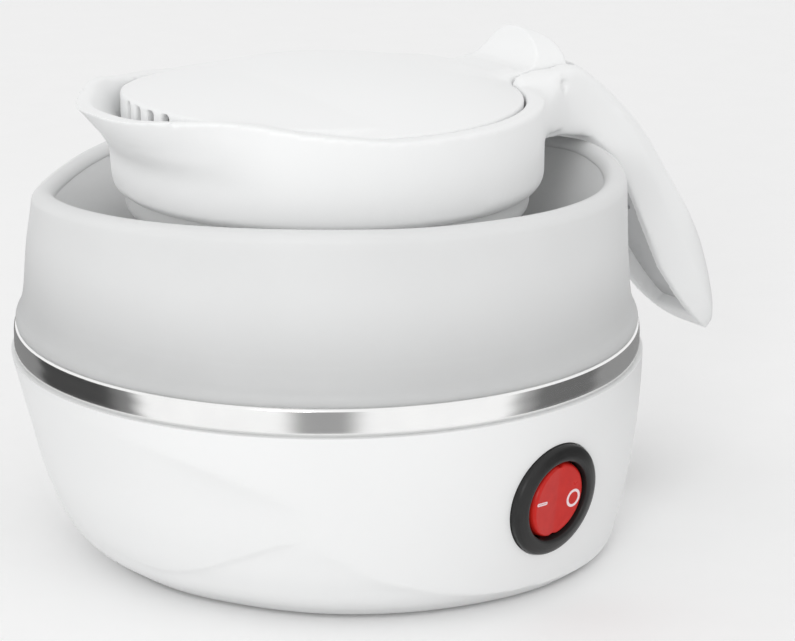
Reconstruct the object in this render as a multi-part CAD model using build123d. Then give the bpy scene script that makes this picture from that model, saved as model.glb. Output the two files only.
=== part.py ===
from build123d import *
from math import asin, cos, degrees, radians, sin, tan
import os

# Collapsible travel kettle, folded: a white base with the steel pan and the heating parts in it,
# a soft silicone sleeve folded like the letter S, and a rigid head with spout, lid and handle.
# Millimetres. The origin is on the kettle's axis where it stands, +Z up, spout to -X, handle to +X.

# Fits and cuts shared by all pieces
cut_over = 1.0
soft_gap = 0.3
press_gap = 0.02
running_gap = 0.05
part_gap = 0.2
half_corner = 1 - cos(radians(45))

# Base housing: a moulded barrel whose spout side is cut in by an off-centre bowl
base_radius = 73.4
base_foot_taper = 5.2
base_mid_taper = 1.8
base_mid_z = 22.0
base_rim_z = 46.2
base_clear_z = 0.8
base_foot_round = 4.0
base_wall = 2.4
bowl_direction = -33.0
bowl_height_shares = (0.0, 0.09, 0.2, 0.37, 0.67, 1.0)
bowl_radius_shares = (0.81, 0.885, 0.928, 0.965, 0.998, 1.034)
bowl_shift_shares = (0.086, 0.081, 0.076, 0.067, 0.05, 0.035)
shelf_width = 12.9
shelf_thickness = 2.5

# Bottom cover, its rubber foot ring and its screws
cover_inset = 23.0
cover_thickness = 2.8
cover_ledge_width = 12.4
cover_ledge = 2.0
foot_inset = 2.4
foot_width = 2.8
foot_groove = 1.4
boss_inset = 8.8
boss_radius = 3.4
boss_height = 8.0
boss_count = 3
boss_first_angle = 60.0
screw_radius = 1.4
screw_head_radius = 2.7
screw_head = 1.6
screw_length = 8.5
drain_circle = 22.0
drain_width = 2.4
drain_length = 9.0
drain_count = 6

# Steel pan: the heated cup that the sleeve is clamped to
pan_room = 18.9
pan_depth = 20.2
pan_sheet = 0.8
pan_corner = 4.5
flange_inset = 5.0

# Steel band round the joint, and the hoop that holds the sleeve's foot from inside
band_height = 6.4
band_set_back = 0.8
band_thickness = 2.1
band_top_draft = 1.0
band_foot_draft = 0.3
band_lip = 0.3
hoop_inset = 0.4
hoop_width = 5.0
hoop_thickness = 1.2

# Silicone sleeve: flared foot, outer wall, a narrow lip that stands a little askew, inner wall, fold and neck
sleeve_wall = 2.2
sleeve_height = 34.0
sleeve_foot_overhang = 2.1
sleeve_foot_thickness = 2.4
sleeve_flare = 0.4
sleeve_flare_height = 1.6
sleeve_waist = 1.9
sleeve_waist_height = 8.4
sleeve_taper = 0.7
sleeve_flare_dip_share = 0.34
sleeve_tuck_shares = (0.1, 0.4)
lip_radius = 1.6
lip_tilt = 1.85
lip_high_angle = -86.0
fold_radius = 4.35
fold_clear = 3.0

# Head moulding: collar, spout, hinge cheeks and handle in one piece
collar_inset = 23.7
collar_wall = 3.0
collar_sink = 3.0
collar_round = 4.2
neck_height = 8.4
seat_thickness = 3.0
seat_width = 3.0
rim_height = 9.0
rim_wall = 4.3
spout_reach = 14.9
spout_lift = 5.2
spout_start_drop = 10.0
spout_angle = 46.0
spout_wall = 2.6
spout_width_shares = ((0.73, 0.43), (0.88, 0.28), (0.967, 0.16))
rim_rise_shares = ((0.05, 0.0), (0.34, 0.35), (0.68, 0.9), (1.0, 1.0), (1.1, 1.0))

# Clamp ring that holds the sleeve's neck in the collar
clamp_wall = 2.7
clamp_below = 1.0

# Hinge at the back of the collar
pin_reach = 5.3
pin_rise = 0.9
pin_radius = 1.4
pin_recess = 0.7
knuckle_radius = 5.3
knuckle_gap = 0.4
cheek_half_gap = 12.0
cheek_half_width = 15.8
pocket_radius = 11.1

# Handle: a crowned channel that leaves the collar level and droops to a rounded tip.
# Each station has a place on the outer line, the lean of its section, its depth, width and side height.
handle_root_inset = 8.7
handle_span = 74.9
handle_tall = 71.4
handle_depth = 17.8
handle_root_rise = 3.6
handle_outer_shares = ((0.0, 0.983), (0.2, 1.0), (0.334, 0.978), (0.481, 0.878), (0.621, 0.742),
                       (0.741, 0.583), (0.845, 0.437), (0.927, 0.286), (0.977, 0.134), (1.0, 0.0))
handle_lean_angles = (0.0, 4.1, 8.6, 19.0, 33.8, 43.7, 47.1, 48.0, 46.3, 42.8)
handle_depth_shares = (0.924, 1.0, 0.912, 0.879, 0.865, 0.902, 0.958, 0.905, 0.685, 0.306)
handle_width_shares = (1.4, 1.05, 0.962, 0.873, 0.816, 0.791, 0.778, 0.753, 0.658, 0.38)
handle_side_shares = (0.82, 0.97, 0.84, 0.66, 0.54, 0.48, 0.46, 0.46, 0.46, 0.5)
handle_wall = 2.6
channel_skip_count = 3
channel_station_count = 6
liner_depth = 2.2
liner_thickness = 1.6
liner_screw_count = 2
liner_screw_every_count = 1
liner_screw_length = 5.1

# Lid: dome with a raised front edge, strainer slots and a thumb hump
lid_gap = 0.6
lid_rise = 8.5
lid_wall = 2.4
lid_plate_thickness = 2.0
seal_width = 2.6
lobe_inset = 5.6
lobe_shift = 9.0
lobe_sink = 4.8
lobe_floor = 1.5
lobe_drop = 1.2
lobe_peak = 7.2
lobe_long_radius = 210.0
lobe_cross_radius = 137.0
lobe_over_share = 1.2
slot_count = 4
slot_step_angle = 6.4
slot_width = 2.4
slot_rise = 2.7
slot_height = 4.8
hump_rise = 10.2
hump_reach = 15.0
hump_shoulder_rise = 1.9
hump_front_shares = ((1.0, 0.08), (0.667, 0.1), (0.407, 0.363), (0.293, 0.657), (0.213, 1.0))
hump_back_shares = (-0.2, 0.76)
hump_back_angle = 20.0
hump_side_gap = 0.35
lid_screw_inset = 12.2
lid_boss_radius = 3.2
lid_screw_count = 4
lid_screw_angle = 45.0
pour_inset = 8.2
pour_radius = 3.0
pour_count = 5
pour_step_angle = 14.0

# Round rocker switch in the side of the base
switch_angle = -79.2
switch_z = 25.0
switch_taper = 1.38
switch_lean_angle = 7.3
bezel_radius = 13.0
bezel_inner_radius = 9.25
bezel_front = 1.2
bezel_back = 1.5
switch_body_radius = 11.0
switch_body_depth = 12.0
switch_body_wall = 1.3
rocker_ball_radius = 9.0
rocker_pivot_depth = 2.8
rocker_face = 0.6
rocker_back = 3.6
rocker_half_angle = 7.5
rocker_pin_radius = 1.1
rocker_pin_reach = 10.1
rocker_notch = 1.1
tab_width = 4.8
tab_thickness = 0.8
tab_length = 3.0
tab_step = 5.5
lamp_radius = 1.6
lamp_length = 9.0

# Power inlet under the handle: a flush shrouded socket with three flat pins
inlet_set_back = 3.6
inlet_drop = 9.5
inlet_flange = 1.8
inlet_half_width = 13.4
inlet_half_height = 9.6
inlet_border = 1.9
inlet_wall = 1.5
inlet_depth = 18.0
inlet_back = 3.0
inlet_pad = 3.0
blade_width = 2.0
blade_height = 4.0
blade_reach = 13.0
blade_tail = 6.0
blade_spread = 7.0
blade_rise = 2.0

# Heating parts under the pan
plate_inset = 10.5
plate_thickness = 3.2
element_inset = 8.0
element_radius = 3.2
element_turn_angle = 300.0
cold_pin_radius = 1.5
cold_pin_length = 9.0
thermostat_radius = 9.0
thermostat_height = 6.0
thermostat_flange = 12.0
thermostat_flange_thickness = 1.0
fuse_radius = 2.0
fuse_length = 12.0
fuse_gap_share = 0.25

# Radii and places worked out from the sizes above, from the base outwards and up
base_foot_radius = base_radius - base_foot_taper
base_mid_radius = base_radius - base_mid_taper
switch_seat_radius = base_radius - switch_taper
shelf_radius = base_radius - shelf_width
shelf_z = base_rim_z - pan_sheet
cover_radius = base_radius - cover_inset
cover_top_z = base_clear_z + cover_thickness
floor_z = cover_top_z + cover_ledge
foot_outer_radius = cover_radius - foot_inset
foot_inner_radius = foot_outer_radius - foot_width
boss_circle = cover_radius - boss_inset
pan_radius = base_radius - pan_room
pan_floor_z = base_rim_z - pan_depth
pan_bottom_z = pan_floor_z - pan_sheet
flange_radius = base_radius - flange_inset
plate_radius = pan_radius - plate_inset
plate_bottom_z = pan_bottom_z - plate_thickness
element_circle = plate_radius - element_inset
fuse_room = element_circle - element_radius - thermostat_flange - 2 * fuse_radius
fuse_y = thermostat_flange + fuse_radius + fuse_room * fuse_gap_share
band_top_z = base_rim_z + band_height
band_radius = base_radius - band_set_back
band_top_radius = band_radius - band_top_draft
band_inner_radius = band_radius - band_thickness
sleeve_foot_inner = pan_radius + sleeve_foot_overhang
hoop_inner_radius = sleeve_foot_inner + hoop_inset
hoop_outer_radius = hoop_inner_radius + hoop_width
sleeve_flare_radius = band_top_radius + sleeve_flare
sleeve_flare_z = band_top_z + sleeve_flare_height
sleeve_waist_radius = sleeve_flare_radius - sleeve_waist
sleeve_waist_z = band_top_z + sleeve_waist_height
sleeve_outer_radius = sleeve_waist_radius - sleeve_taper
sleeve_lip_z = band_top_z + sleeve_height
sleeve_fold_z = band_top_z + fold_clear + sleeve_wall / 2 + fold_radius
collar_radius = base_radius - collar_inset
collar_bottom_z = sleeve_lip_z - collar_sink
neck_top_z = collar_bottom_z + neck_height
sleeve_neck_radius = collar_radius - collar_wall - soft_gap
seat_z = neck_top_z + seat_thickness
seat_radius = collar_radius - rim_wall
throat_radius = seat_radius - seat_width
rim_z = seat_z + rim_height
spout_start_z = rim_z - spout_start_drop
spout_tip = collar_radius + spout_reach
spout_tip_z = rim_z + spout_lift
rim_wall_top = spout_tip_z + cut_over
pin_x = collar_radius + pin_reach
pin_z = rim_z + pin_rise
notch_z = pin_z - knuckle_radius - knuckle_gap
handle_root_x = collar_radius - handle_root_inset
handle_tip_z = rim_z + handle_root_rise - handle_tall
lid_radius = seat_radius - lid_gap
lid_top_z = rim_z + lid_rise
lid_plate_z = seat_z + soft_gap
lid_skirt_z = lid_plate_z + lid_plate_thickness
lid_plate_radius = lid_radius - seal_width
lobe_radius = lid_radius - lobe_inset
lobe_floor_z = rim_z - lobe_sink
lobe_top_z = lid_top_z - lobe_drop
hump_top_z = pin_z + hump_rise
inlet_face_x = base_radius - inlet_set_back
inlet_z = pan_bottom_z - inlet_drop


def tube(radius, low, high):
    return Pos(0, 0, low) * Cylinder(radius, high - low, align=(Align.CENTER, Align.CENTER, Align.MIN))


def ring(outer, inner, low, high):
    return tube(outer, low, high) - tube(inner, low - cut_over, high + cut_over)


def block(low, high):
    size = [b - a for a, b in zip(low, high)]
    corner = (Align.MIN, Align.MIN, Align.MIN)
    return Pos(*low) * Box(*size, align=corner)


def turned(*edges):
    return revolve(Plane.XZ * make_face(edges), axis=Axis.Z)


def side_slab(half_width, *edges):
    return extrude(Plane.XZ * make_face(edges), amount=half_width, both=True)


def around(count, radius, piece, first=0.0):
    step = 360.0 / count
    return [Rot(0, 0, first + step * i) * Pos(radius, 0, 0) * piece for i in range(count)]


# Base housing


def barrel(inset):
    foot = base_foot_radius - inset
    low = base_clear_z
    turn_z = low + base_foot_round
    round_mid = base_foot_round * half_corner
    middle = (base_mid_radius - inset, base_mid_z)
    return turned(
        Line((0, low), (foot - base_foot_round, low)),
        ThreePointArc((foot - base_foot_round, low), (foot - round_mid, low + round_mid), (foot, turn_z)),
        ThreePointArc((foot, turn_z), middle, (base_radius - inset, base_rim_z)),
        Polyline((base_radius - inset, base_rim_z), (0, base_rim_z), (0, low)))


def bowl(inset):
    rings = []
    tall = base_rim_z - base_clear_z
    for height, radius, shift in zip(bowl_height_shares, bowl_radius_shares, bowl_shift_shares):
        place = Rot(0, 0, bowl_direction) * Pos(base_radius * shift, 0, base_clear_z + tall * height)
        rings.append(place * Circle(base_radius * radius - inset))
    return loft(rings)


def base_form(inset):
    return barrel(inset) & bowl(inset)


def switch_plane():
    lean = radians(switch_lean_angle)
    angle = radians(switch_angle)
    outward = (cos(angle) * cos(lean), sin(angle) * cos(lean), -sin(lean))
    surface = (switch_seat_radius * cos(angle), switch_seat_radius * sin(angle), switch_z)
    return Plane(origin=surface, x_dir=(-sin(angle), cos(angle), 0), z_dir=outward)


def inlet_block(grow, low_x, high_x):
    half_width = inlet_half_width + grow
    half_height = inlet_half_height + grow
    return block((low_x, -half_width, inlet_z - half_height), (high_x, half_width, inlet_z + half_height))


def base_housing():
    outer = base_form(0)
    cavity_top = shelf_z - shelf_thickness
    cavity = base_form(base_wall) & tube(base_radius, floor_z, cavity_top)
    shell = outer - cavity
    shell -= tube(shelf_radius, cavity_top - cut_over, base_rim_z + cut_over)
    shell -= tube(flange_radius + soft_gap, shelf_z, base_rim_z + cut_over)
    shell -= tube(cover_radius + part_gap, 0, cover_top_z)
    shell -= tube(cover_radius - cover_ledge_width, 0, floor_z + cut_over)
    seat_x = inlet_face_x - inlet_flange
    pad = inlet_block(inlet_border * 2, seat_x - inlet_pad, seat_x) & outer
    shell += pad & tube(base_radius, floor_z - cut_over, cavity_top)
    shell -= inlet_block(inlet_border + part_gap, seat_x, base_radius + cut_over)
    shell -= inlet_block(part_gap, seat_x - 3 * inlet_pad, base_radius)
    hole = Cylinder(switch_body_radius + part_gap, 4 * base_wall + 2 * bezel_back)
    shell -= switch_plane() * hole
    shell -= switch_plane() * tube(bezel_radius + part_gap, -bezel_back, 4 * bezel_back)
    boss = tube(boss_radius, floor_z, floor_z + boss_height)
    for piece in around(boss_count, boss_circle, boss, boss_first_angle):
        shell += piece
    pilot = tube(screw_radius, 0, base_clear_z + screw_length + screw_head)
    for piece in around(boss_count, boss_circle, pilot, boss_first_angle):
        shell -= piece
    return shell


def bottom_cover():
    cover = tube(cover_radius, base_clear_z, cover_top_z)
    cover -= ring(foot_outer_radius, foot_inner_radius, base_clear_z - cut_over, base_clear_z + foot_groove)
    head = tube(screw_head_radius + part_gap, 0, base_clear_z + screw_head)
    shaft = tube(screw_radius + press_gap, 0, cover_top_z + cut_over)
    for piece in around(boss_count, boss_circle, head + shaft, boss_first_angle):
        cover -= piece
    drain = Pos(0, 0, base_clear_z) * Box(drain_length, drain_width, cover_thickness * 3)
    for piece in around(drain_count, drain_circle, drain):
        cover -= piece
    return cover


def foot_ring():
    return ring(foot_outer_radius, foot_inner_radius, 0, base_clear_z + foot_groove)


def screw(head_low, length):
    head = tube(screw_head_radius, head_low, head_low + screw_head)
    return head + tube(screw_radius, head_low + screw_head, head_low + screw_head + length)


def bottom_screws():
    one = screw(base_clear_z, screw_length - cut_over)
    return around(boss_count, boss_circle, one, boss_first_angle)


# Pan, band and hoop


def heating_pan():
    outer = pan_radius
    inner = pan_radius - pan_sheet
    low = pan_bottom_z
    corner = pan_corner
    near = corner * half_corner
    small = corner - pan_sheet
    small_near = small * half_corner
    return turned(
        Line((0, low), (outer - corner, low)),
        ThreePointArc((outer - corner, low), (outer - near, low + near), (outer, low + corner)),
        Polyline((outer, low + corner), (outer, shelf_z), (flange_radius, shelf_z),
                 (flange_radius, base_rim_z), (inner, base_rim_z), (inner, pan_floor_z + small)),
        ThreePointArc((inner, pan_floor_z + small), (inner - small_near, pan_floor_z + small_near),
                      (inner - small, pan_floor_z)),
        Polyline((inner - small, pan_floor_z), (0, pan_floor_z), (0, low)))


def trim_band():
    low = base_rim_z
    foot = band_radius - band_foot_draft
    middle_z = (low + band_top_z) / 2
    return turned(
        ThreePointArc((foot, low), (band_radius, middle_z), (band_top_radius, band_top_z)),
        Polyline((band_top_radius, band_top_z), (band_inner_radius, band_top_z), (band_inner_radius, low),
                 (foot, low)))


def foot_hoop():
    low = base_rim_z + sleeve_foot_thickness
    return ring(hoop_outer_radius, hoop_inner_radius, low, low + hoop_thickness)


# Silicone sleeve


def lip_plane():
    turn = radians(lip_high_angle)
    lean = lip_tilt / (sleeve_outer_radius - sleeve_wall / 2 - lip_radius)
    upward = (-sin(lean) * cos(turn), -sin(lean) * sin(turn), cos(lean))
    return Plane(origin=(0, 0, sleeve_lip_z - sleeve_wall / 2 - lip_radius), z_dir=upward)


def sleeve_wall_between(low_plane, low_outer, high_plane, high_outer):
    def cone(inset):
        return loft([low_plane * Circle(low_outer - inset), high_plane * Circle(high_outer - inset)])
    return cone(0) - cone(sleeve_wall)


def sleeve_foot():
    inner_wall = sleeve_waist_radius - sleeve_wall
    foot_top = base_rim_z + sleeve_foot_thickness
    foot_outer = band_inner_radius - press_gap
    tuck_z = band_top_z + press_gap
    tuck = band_top_radius - band_lip
    dip = sleeve_waist_radius + (sleeve_flare_radius - sleeve_waist_radius) * sleeve_flare_dip_share
    dip_z = (sleeve_waist_z + sleeve_flare_z) / 2
    round_r = sleeve_flare_radius - (sleeve_flare_radius - tuck) * sleeve_tuck_shares[0]
    round_z = tuck_z + (sleeve_flare_z - tuck_z) * sleeve_tuck_shares[1]
    return turned(
        Polyline((foot_outer, tuck_z), (foot_outer, base_rim_z), (sleeve_foot_inner, base_rim_z),
                 (sleeve_foot_inner, foot_top), (hoop_outer_radius + part_gap, foot_top),
                 (inner_wall, foot_top + sleeve_foot_thickness), (inner_wall, sleeve_waist_z),
                 (sleeve_waist_radius, sleeve_waist_z)),
        ThreePointArc((sleeve_waist_radius, sleeve_waist_z), (dip, dip_z),
                      (sleeve_flare_radius, sleeve_flare_z)),
        ThreePointArc((sleeve_flare_radius, sleeve_flare_z), (round_r, round_z), (tuck, tuck_z)),
        Line((tuck, tuck_z), (foot_outer, tuck_z)))


def sleeve_lip():
    middle = sleeve_outer_radius - sleeve_wall / 2 - lip_radius
    big = lip_radius + sleeve_wall / 2
    small = lip_radius - sleeve_wall / 2
    half_ring = turned(
        ThreePointArc((middle + big, 0), (middle, big), (middle - big, 0)),
        Line((middle - big, 0), (middle - small, 0)),
        ThreePointArc((middle - small, 0), (middle, small), (middle + small, 0)),
        Line((middle + small, 0), (middle + big, 0)))
    return lip_plane() * half_ring


def sleeve_fold():
    centre = sleeve_neck_radius - sleeve_wall / 2 + fold_radius
    level = sleeve_fold_z
    wide = fold_radius + sleeve_wall / 2
    tight = fold_radius - sleeve_wall / 2
    neck_in = sleeve_neck_radius - sleeve_wall
    return turned(
        ThreePointArc((centre + wide, level), (centre, level - wide), (centre - wide, level)),
        Polyline((centre - wide, level), (neck_in, neck_top_z), (sleeve_neck_radius, neck_top_z),
                 (centre - tight, level)),
        ThreePointArc((centre - tight, level), (centre, level - tight), (centre + tight, level)),
        Line((centre + tight, level), (centre + wide, level)))


def silicone_body():
    lip = lip_plane()
    waist = Plane.XY.offset(sleeve_waist_z)
    fold = Plane.XY.offset(sleeve_fold_z)
    lip_inner = sleeve_outer_radius - 2 * lip_radius
    fold_outer = sleeve_neck_radius + 2 * fold_radius
    outer_wall = sleeve_wall_between(waist, sleeve_waist_radius, lip, sleeve_outer_radius)
    inner_wall = sleeve_wall_between(fold, fold_outer, lip, lip_inner)
    return sleeve_foot() + outer_wall + sleeve_lip() + inner_wall + sleeve_fold()


# Head moulding


def spout_outline(radius, tip, height):
    turn = radians(180 - spout_angle)
    start = (radius * cos(turn), radius * sin(turn))
    end = (start[0], -start[1])
    back = ThreePointArc(end, (radius, 0), start)
    if tip > radius:
        sides = [(-tip * along, tip * across) for along, across in spout_width_shares]
        points = [start, *sides, (-tip, 0), *[(x, -y) for x, y in reversed(sides)], end]
        heading = (-sin(turn), cos(turn))
        front = Spline(*points, tangents=[heading, (-heading[0], heading[1])])
    else:
        front = ThreePointArc(start, (-radius, 0), end)
    return Pos(0, 0, height) * make_face([back, front])


def flared(radius, tip, low, high):
    return loft([spout_outline(radius, radius, low), spout_outline(radius, tip, high)])


def above_rim():
    back = seat_radius * 3
    tall = spout_tip_z * 2
    points = [(-spout_tip * along, rim_z + spout_lift * up) for along, up in rim_rise_shares]
    start, end = points[0], points[-1]
    return side_slab(
        back,
        Spline(*points, tangents=[(-1, 0), (-1, 0)]),
        Polyline(end, (end[0], tall), (back, tall), (back, rim_z), start))


def collar_body():
    low = collar_bottom_z
    corner = collar_round
    near = corner * half_corner
    start = collar_radius - corner
    return turned(
        Line((0, low), (start, low)),
        ThreePointArc((start, low), (collar_radius - near, low + near), (collar_radius, low + corner)),
        Polyline((collar_radius, low + corner), (collar_radius, rim_z), (0, rim_z), (0, low)))


def spout_body():
    return flared(collar_radius, spout_tip, spout_start_z, rim_wall_top) - above_rim()


def handle_station(index):
    along, up = handle_outer_shares[index]
    lean = radians(handle_lean_angles[index])
    across = Vector(sin(lean), 0, cos(lean)) * handle_depth * handle_depth_shares[index]
    outer = Vector(handle_root_x + handle_span * along, 0, handle_tip_z + handle_tall * up)
    return outer - across, across


def handle_section(index, inset, low, high):
    inner, across = handle_station(index)
    half = cheek_half_width * handle_width_shares[index] - inset
    if high is None:
        side = across.length * handle_side_shares[index] - inset
        crown = ThreePointArc((half, side), (0, across.length - inset), (-half, side))
    else:
        side = high
        crown = Line((half, side), (-half, side))
    face = make_face([Polyline((-half, side), (-half, low), (half, low), (half, side)), crown])
    return Plane(origin=inner, x_dir=(0, 1, 0), z_dir=(across.Z, 0, -across.X)) * face


def handle_loft(first, count, inset, low, high):
    return loft([handle_section(i, inset, low, high) for i in range(first, first + count)])


def handle_body():
    solid = handle_loft(0, len(handle_width_shares), 0, 0, None)
    channel = handle_loft(channel_skip_count, channel_station_count, handle_wall, -cut_over, None)
    return solid - channel


def hinge_space():
    half = cheek_half_gap
    floor = block((seat_radius - collar_wall, -half, notch_z), (pin_x, half, rim_wall_top))
    round_space = Pos(pin_x, 0, pin_z) * Rot(90, 0, 0) * Cylinder(pocket_radius, 2 * cheek_half_gap)
    return floor + (round_space & block((pin_x - pin_radius, -cheek_half_gap, 0),
                                        (pin_x * 2, cheek_half_gap, spout_tip_z * 2)))


def pin_rod(radius, length):
    return Pos(pin_x, 0, pin_z) * Rot(90, 0, 0) * Cylinder(radius, length)


def liner_screw_frames():
    frames = []
    for i in range(liner_screw_count):
        inner, across = handle_station(channel_skip_count + 1 + liner_screw_every_count * i)
        frames.append((Plane(origin=inner, x_dir=(0, 1, 0), z_dir=across), across.length))
    return frames


def handle_bosses():
    low = liner_depth + liner_thickness
    return [plane * tube(boss_radius, low, depth - handle_wall / 2) for plane, depth in liner_screw_frames()]


def head_moulding():
    collar = collar_body() + handle_body() + spout_body()
    collar -= tube(seat_radius, seat_z, rim_wall_top + cut_over)
    collar -= flared(seat_radius, spout_tip - spout_wall, seat_z + spout_wall / 4, rim_wall_top + cut_over)
    collar -= tube(throat_radius, neck_top_z, seat_z + cut_over)
    collar -= tube(sleeve_neck_radius + soft_gap, collar_bottom_z - cut_over, neck_top_z + soft_gap)
    for boss in handle_bosses():
        collar += boss
    collar -= hinge_space()
    collar -= pin_rod(pin_radius + press_gap, 3 * cheek_half_width)
    for one in handle_screws():
        collar -= one
    return collar


def handle_liner():
    low = liner_depth
    count = channel_station_count
    plate = handle_loft(channel_skip_count, count, handle_wall + press_gap, -cut_over, None)
    plate &= handle_loft(channel_skip_count, count, 0, low, low + liner_thickness)
    for boss in handle_bosses():
        plate -= boss
    for plane, _ in liner_screw_frames():
        plate -= plane * Cylinder(screw_radius + press_gap, 4 * liner_depth)
        plate -= plane * Cylinder(screw_head_radius + press_gap, 2 * (liner_depth + liner_thickness / 2))
    return plate


def handle_screws():
    seat = liner_depth + liner_thickness / 2
    head = tube(screw_head_radius, seat - screw_head / 2, seat)
    shaft = tube(screw_radius, seat, seat + liner_screw_length)
    return [plane * (head + shaft) for plane, _ in liner_screw_frames()]


def hinge_pin():
    return pin_rod(pin_radius, 2 * (cheek_half_width - pin_recess))


def neck_clamp():
    outer = sleeve_neck_radius - sleeve_wall - soft_gap
    return ring(outer, outer - clamp_wall, collar_bottom_z - clamp_below, neck_top_z + soft_gap)


# Lid


def dome(radius, top, low):
    edge = rim_z - (lid_top_z - top)
    bend = (radius ** 2 + (top - edge) ** 2) / (2 * (top - edge))
    middle = radius / 2
    sag = bend - (bend ** 2 - middle ** 2) ** 0.5
    return turned(
        Polyline((0, top), (0, low), (radius, low), (radius, edge)),
        ThreePointArc((radius, edge), (middle, top - sag), (0, top)))


def lobe(radius, drop, low):
    top = lobe_top_z - drop
    centre = top - lobe_long_radius
    back = lobe_radius
    front = -spout_tip
    heights = [centre + (lobe_long_radius ** 2 - (x + lobe_peak) ** 2) ** 0.5 for x in (front, back)]
    axis_z = top - lobe_cross_radius
    face = Plane.XZ * make_face([
        ThreePointArc((front, heights[0]), (-lobe_peak, top), (back, heights[1])),
        Polyline((back, heights[1]), (back, axis_z), (front, axis_z), (front, heights[0]))])
    axis = Axis((0, 0, axis_z), (1, 0, 0))
    spread = degrees(asin(radius / lobe_cross_radius)) * lobe_over_share
    wedge = revolve(face, axis=axis, revolution_arc=spread) + revolve(face, axis=axis, revolution_arc=-spread)
    return wedge & (Pos(-lobe_shift, 0, 0) * tube(radius, low, top))


def hump():
    base_z = pin_z - knuckle_radius
    front = lid_radius - lid_wall
    foot = front - 4 * lid_wall
    half = cheek_half_gap - hump_side_gap
    front_points = [(pin_x - hump_reach * along, pin_z + hump_rise * up) for along, up in hump_front_shares]
    ridge = front_points[-1]
    along, up = hump_back_shares
    turn = radians(hump_back_angle)
    rear = (pin_x + knuckle_radius * cos(turn), pin_z + knuckle_radius * sin(turn))
    under = knuckle_radius * cos(radians(45))
    side = side_slab(
        half,
        Spline((foot, rim_z + lid_wall), *front_points),
        Spline(ridge, (pin_x - hump_reach * along, pin_z + hump_rise * up), rear),
        ThreePointArc(rear, (pin_x + under, pin_z - under), (pin_x, base_z)),
        Polyline((pin_x, base_z), (front, base_z), (foot, rim_z), (foot, rim_z + lid_wall)))
    shoulder = pin_z + hump_shoulder_rise
    arch = Plane.YZ * make_face([
        ThreePointArc((half, shoulder), (0, hump_top_z), (-half, shoulder)),
        Polyline((-half, shoulder), (-half, 0), (half, 0), (half, shoulder))])
    return side & extrude(arch, amount=2 * pin_x)


def lid_top():
    shell = dome(lid_radius, lid_top_z, lid_skirt_z) + lobe(lobe_radius, 0, lobe_floor_z)
    shell -= dome(lid_radius - lid_wall, lid_top_z - lid_wall, lid_skirt_z - cut_over)
    shell -= lobe(lobe_radius - lid_wall, lid_wall, lobe_floor_z + lobe_floor)
    shell += hump() - tube(lid_radius - lid_wall, 0, rim_z)
    boss = tube(lid_boss_radius, lid_skirt_z, lid_top_z)
    for piece in around(lid_screw_count, lid_plate_radius - lid_screw_inset, boss, lid_screw_angle):
        shell += piece & dome(lid_radius, lid_top_z, lid_skirt_z)
    for piece in lid_screws():
        shell -= piece
    reach = lobe_radius + lobe_shift
    half = slot_width / 2
    low = lobe_floor_z + slot_rise
    slot = block((reach - 2 * lid_wall, -half, low), (reach + cut_over, half, low + slot_height))
    for i in range(slot_count):
        shell -= Rot(0, 0, 180 + slot_step_angle * (i - (slot_count - 1) / 2)) * slot
    return shell - pin_rod(pin_radius + running_gap, 2 * cheek_half_gap)


def lid_plate():
    low = lid_plate_z
    plate = tube(lid_plate_radius, low, lid_skirt_z)
    hole = tube(pour_radius, low - cut_over, lid_skirt_z + cut_over)
    for i in range(pour_count):
        turn = 180 + pour_step_angle * (i - (pour_count - 1) / 2)
        plate -= Rot(0, 0, turn) * Pos(lid_plate_radius - pour_inset, 0, 0) * hole
    for piece in lid_screws():
        plate -= piece
    return plate


def lid_screws():
    one = screw(lid_plate_z, screw_length)
    return around(lid_screw_count, lid_plate_radius - lid_screw_inset, one, lid_screw_angle)


def lid_seal():
    return ring(lid_radius, lid_plate_radius, lid_plate_z, lid_skirt_z)


# Switch


def switch_bezel():
    ring_body = ring(bezel_radius, bezel_inner_radius, -bezel_back, bezel_front)
    edges = ring_body.edges().filter_by(GeomType.CIRCLE).group_by(Axis.Z)[-1]
    rounded = fillet(edges, bezel_front / 2)
    return switch_plane() * rounded


def switch_body():
    back = -bezel_back - switch_body_depth
    body = tube(switch_body_radius, back, -bezel_back)
    body -= tube(bezel_inner_radius, back + switch_body_wall, 0)
    body -= Pos(0, 0, -rocker_pivot_depth) * Rot(90, 0, 0) * Cylinder(rocker_pin_radius + running_gap,
                                                                     3 * switch_body_radius)
    return switch_plane() * body


def rocker():
    half = rocker_ball_radius
    slope = tan(radians(2 * rocker_half_angle))
    face = rocker_face
    back = -rocker_back
    high = face + half * slope
    outline = make_face([
        Polyline((-half, back), (half, back), (half, face), (0, face), (-half, high), (-half, back))])
    prism = extrude(Plane.XZ * outline, amount=half, both=True)
    ball = Pos(0, 0, -rocker_pivot_depth) * Sphere(rocker_ball_radius)
    body = prism & ball
    pin = Pos(0, 0, -rocker_pivot_depth) * Rot(90, 0, 0) * Cylinder(rocker_pin_radius, 2 * rocker_pin_reach)
    notch = Cylinder(rocker_notch, 4 * rocker_back)
    for side in (-1, 1):
        body -= Pos(0, side * half, rocker_face + rocker_back) * notch
    return switch_plane() * (body + pin)


def switch_tabs():
    back = -bezel_back - switch_body_depth
    tab = Pos(0, 0, back - tab_length / 2) * Box(tab_width, tab_thickness, tab_length)
    return [switch_plane() * Pos(0, tab_step * i, 0) * tab for i in (-1, 0, 1)]


def switch_lamp():
    floor = switch_body_wall - bezel_back - switch_body_depth
    lamp = Rot(0, 90, 0) * Cylinder(lamp_radius, lamp_length)
    return switch_plane() * Pos(0, 0, floor + lamp_radius) * lamp


# Power inlet


def power_inlet():
    face = inlet_face_x
    back = face - inlet_depth
    body = inlet_block(0, back, face) + inlet_block(inlet_border, face - inlet_flange, face)
    body -= inlet_block(-inlet_wall, back + inlet_back, face + cut_over)
    for blade in inlet_blades():
        body -= blade
    return body


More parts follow.
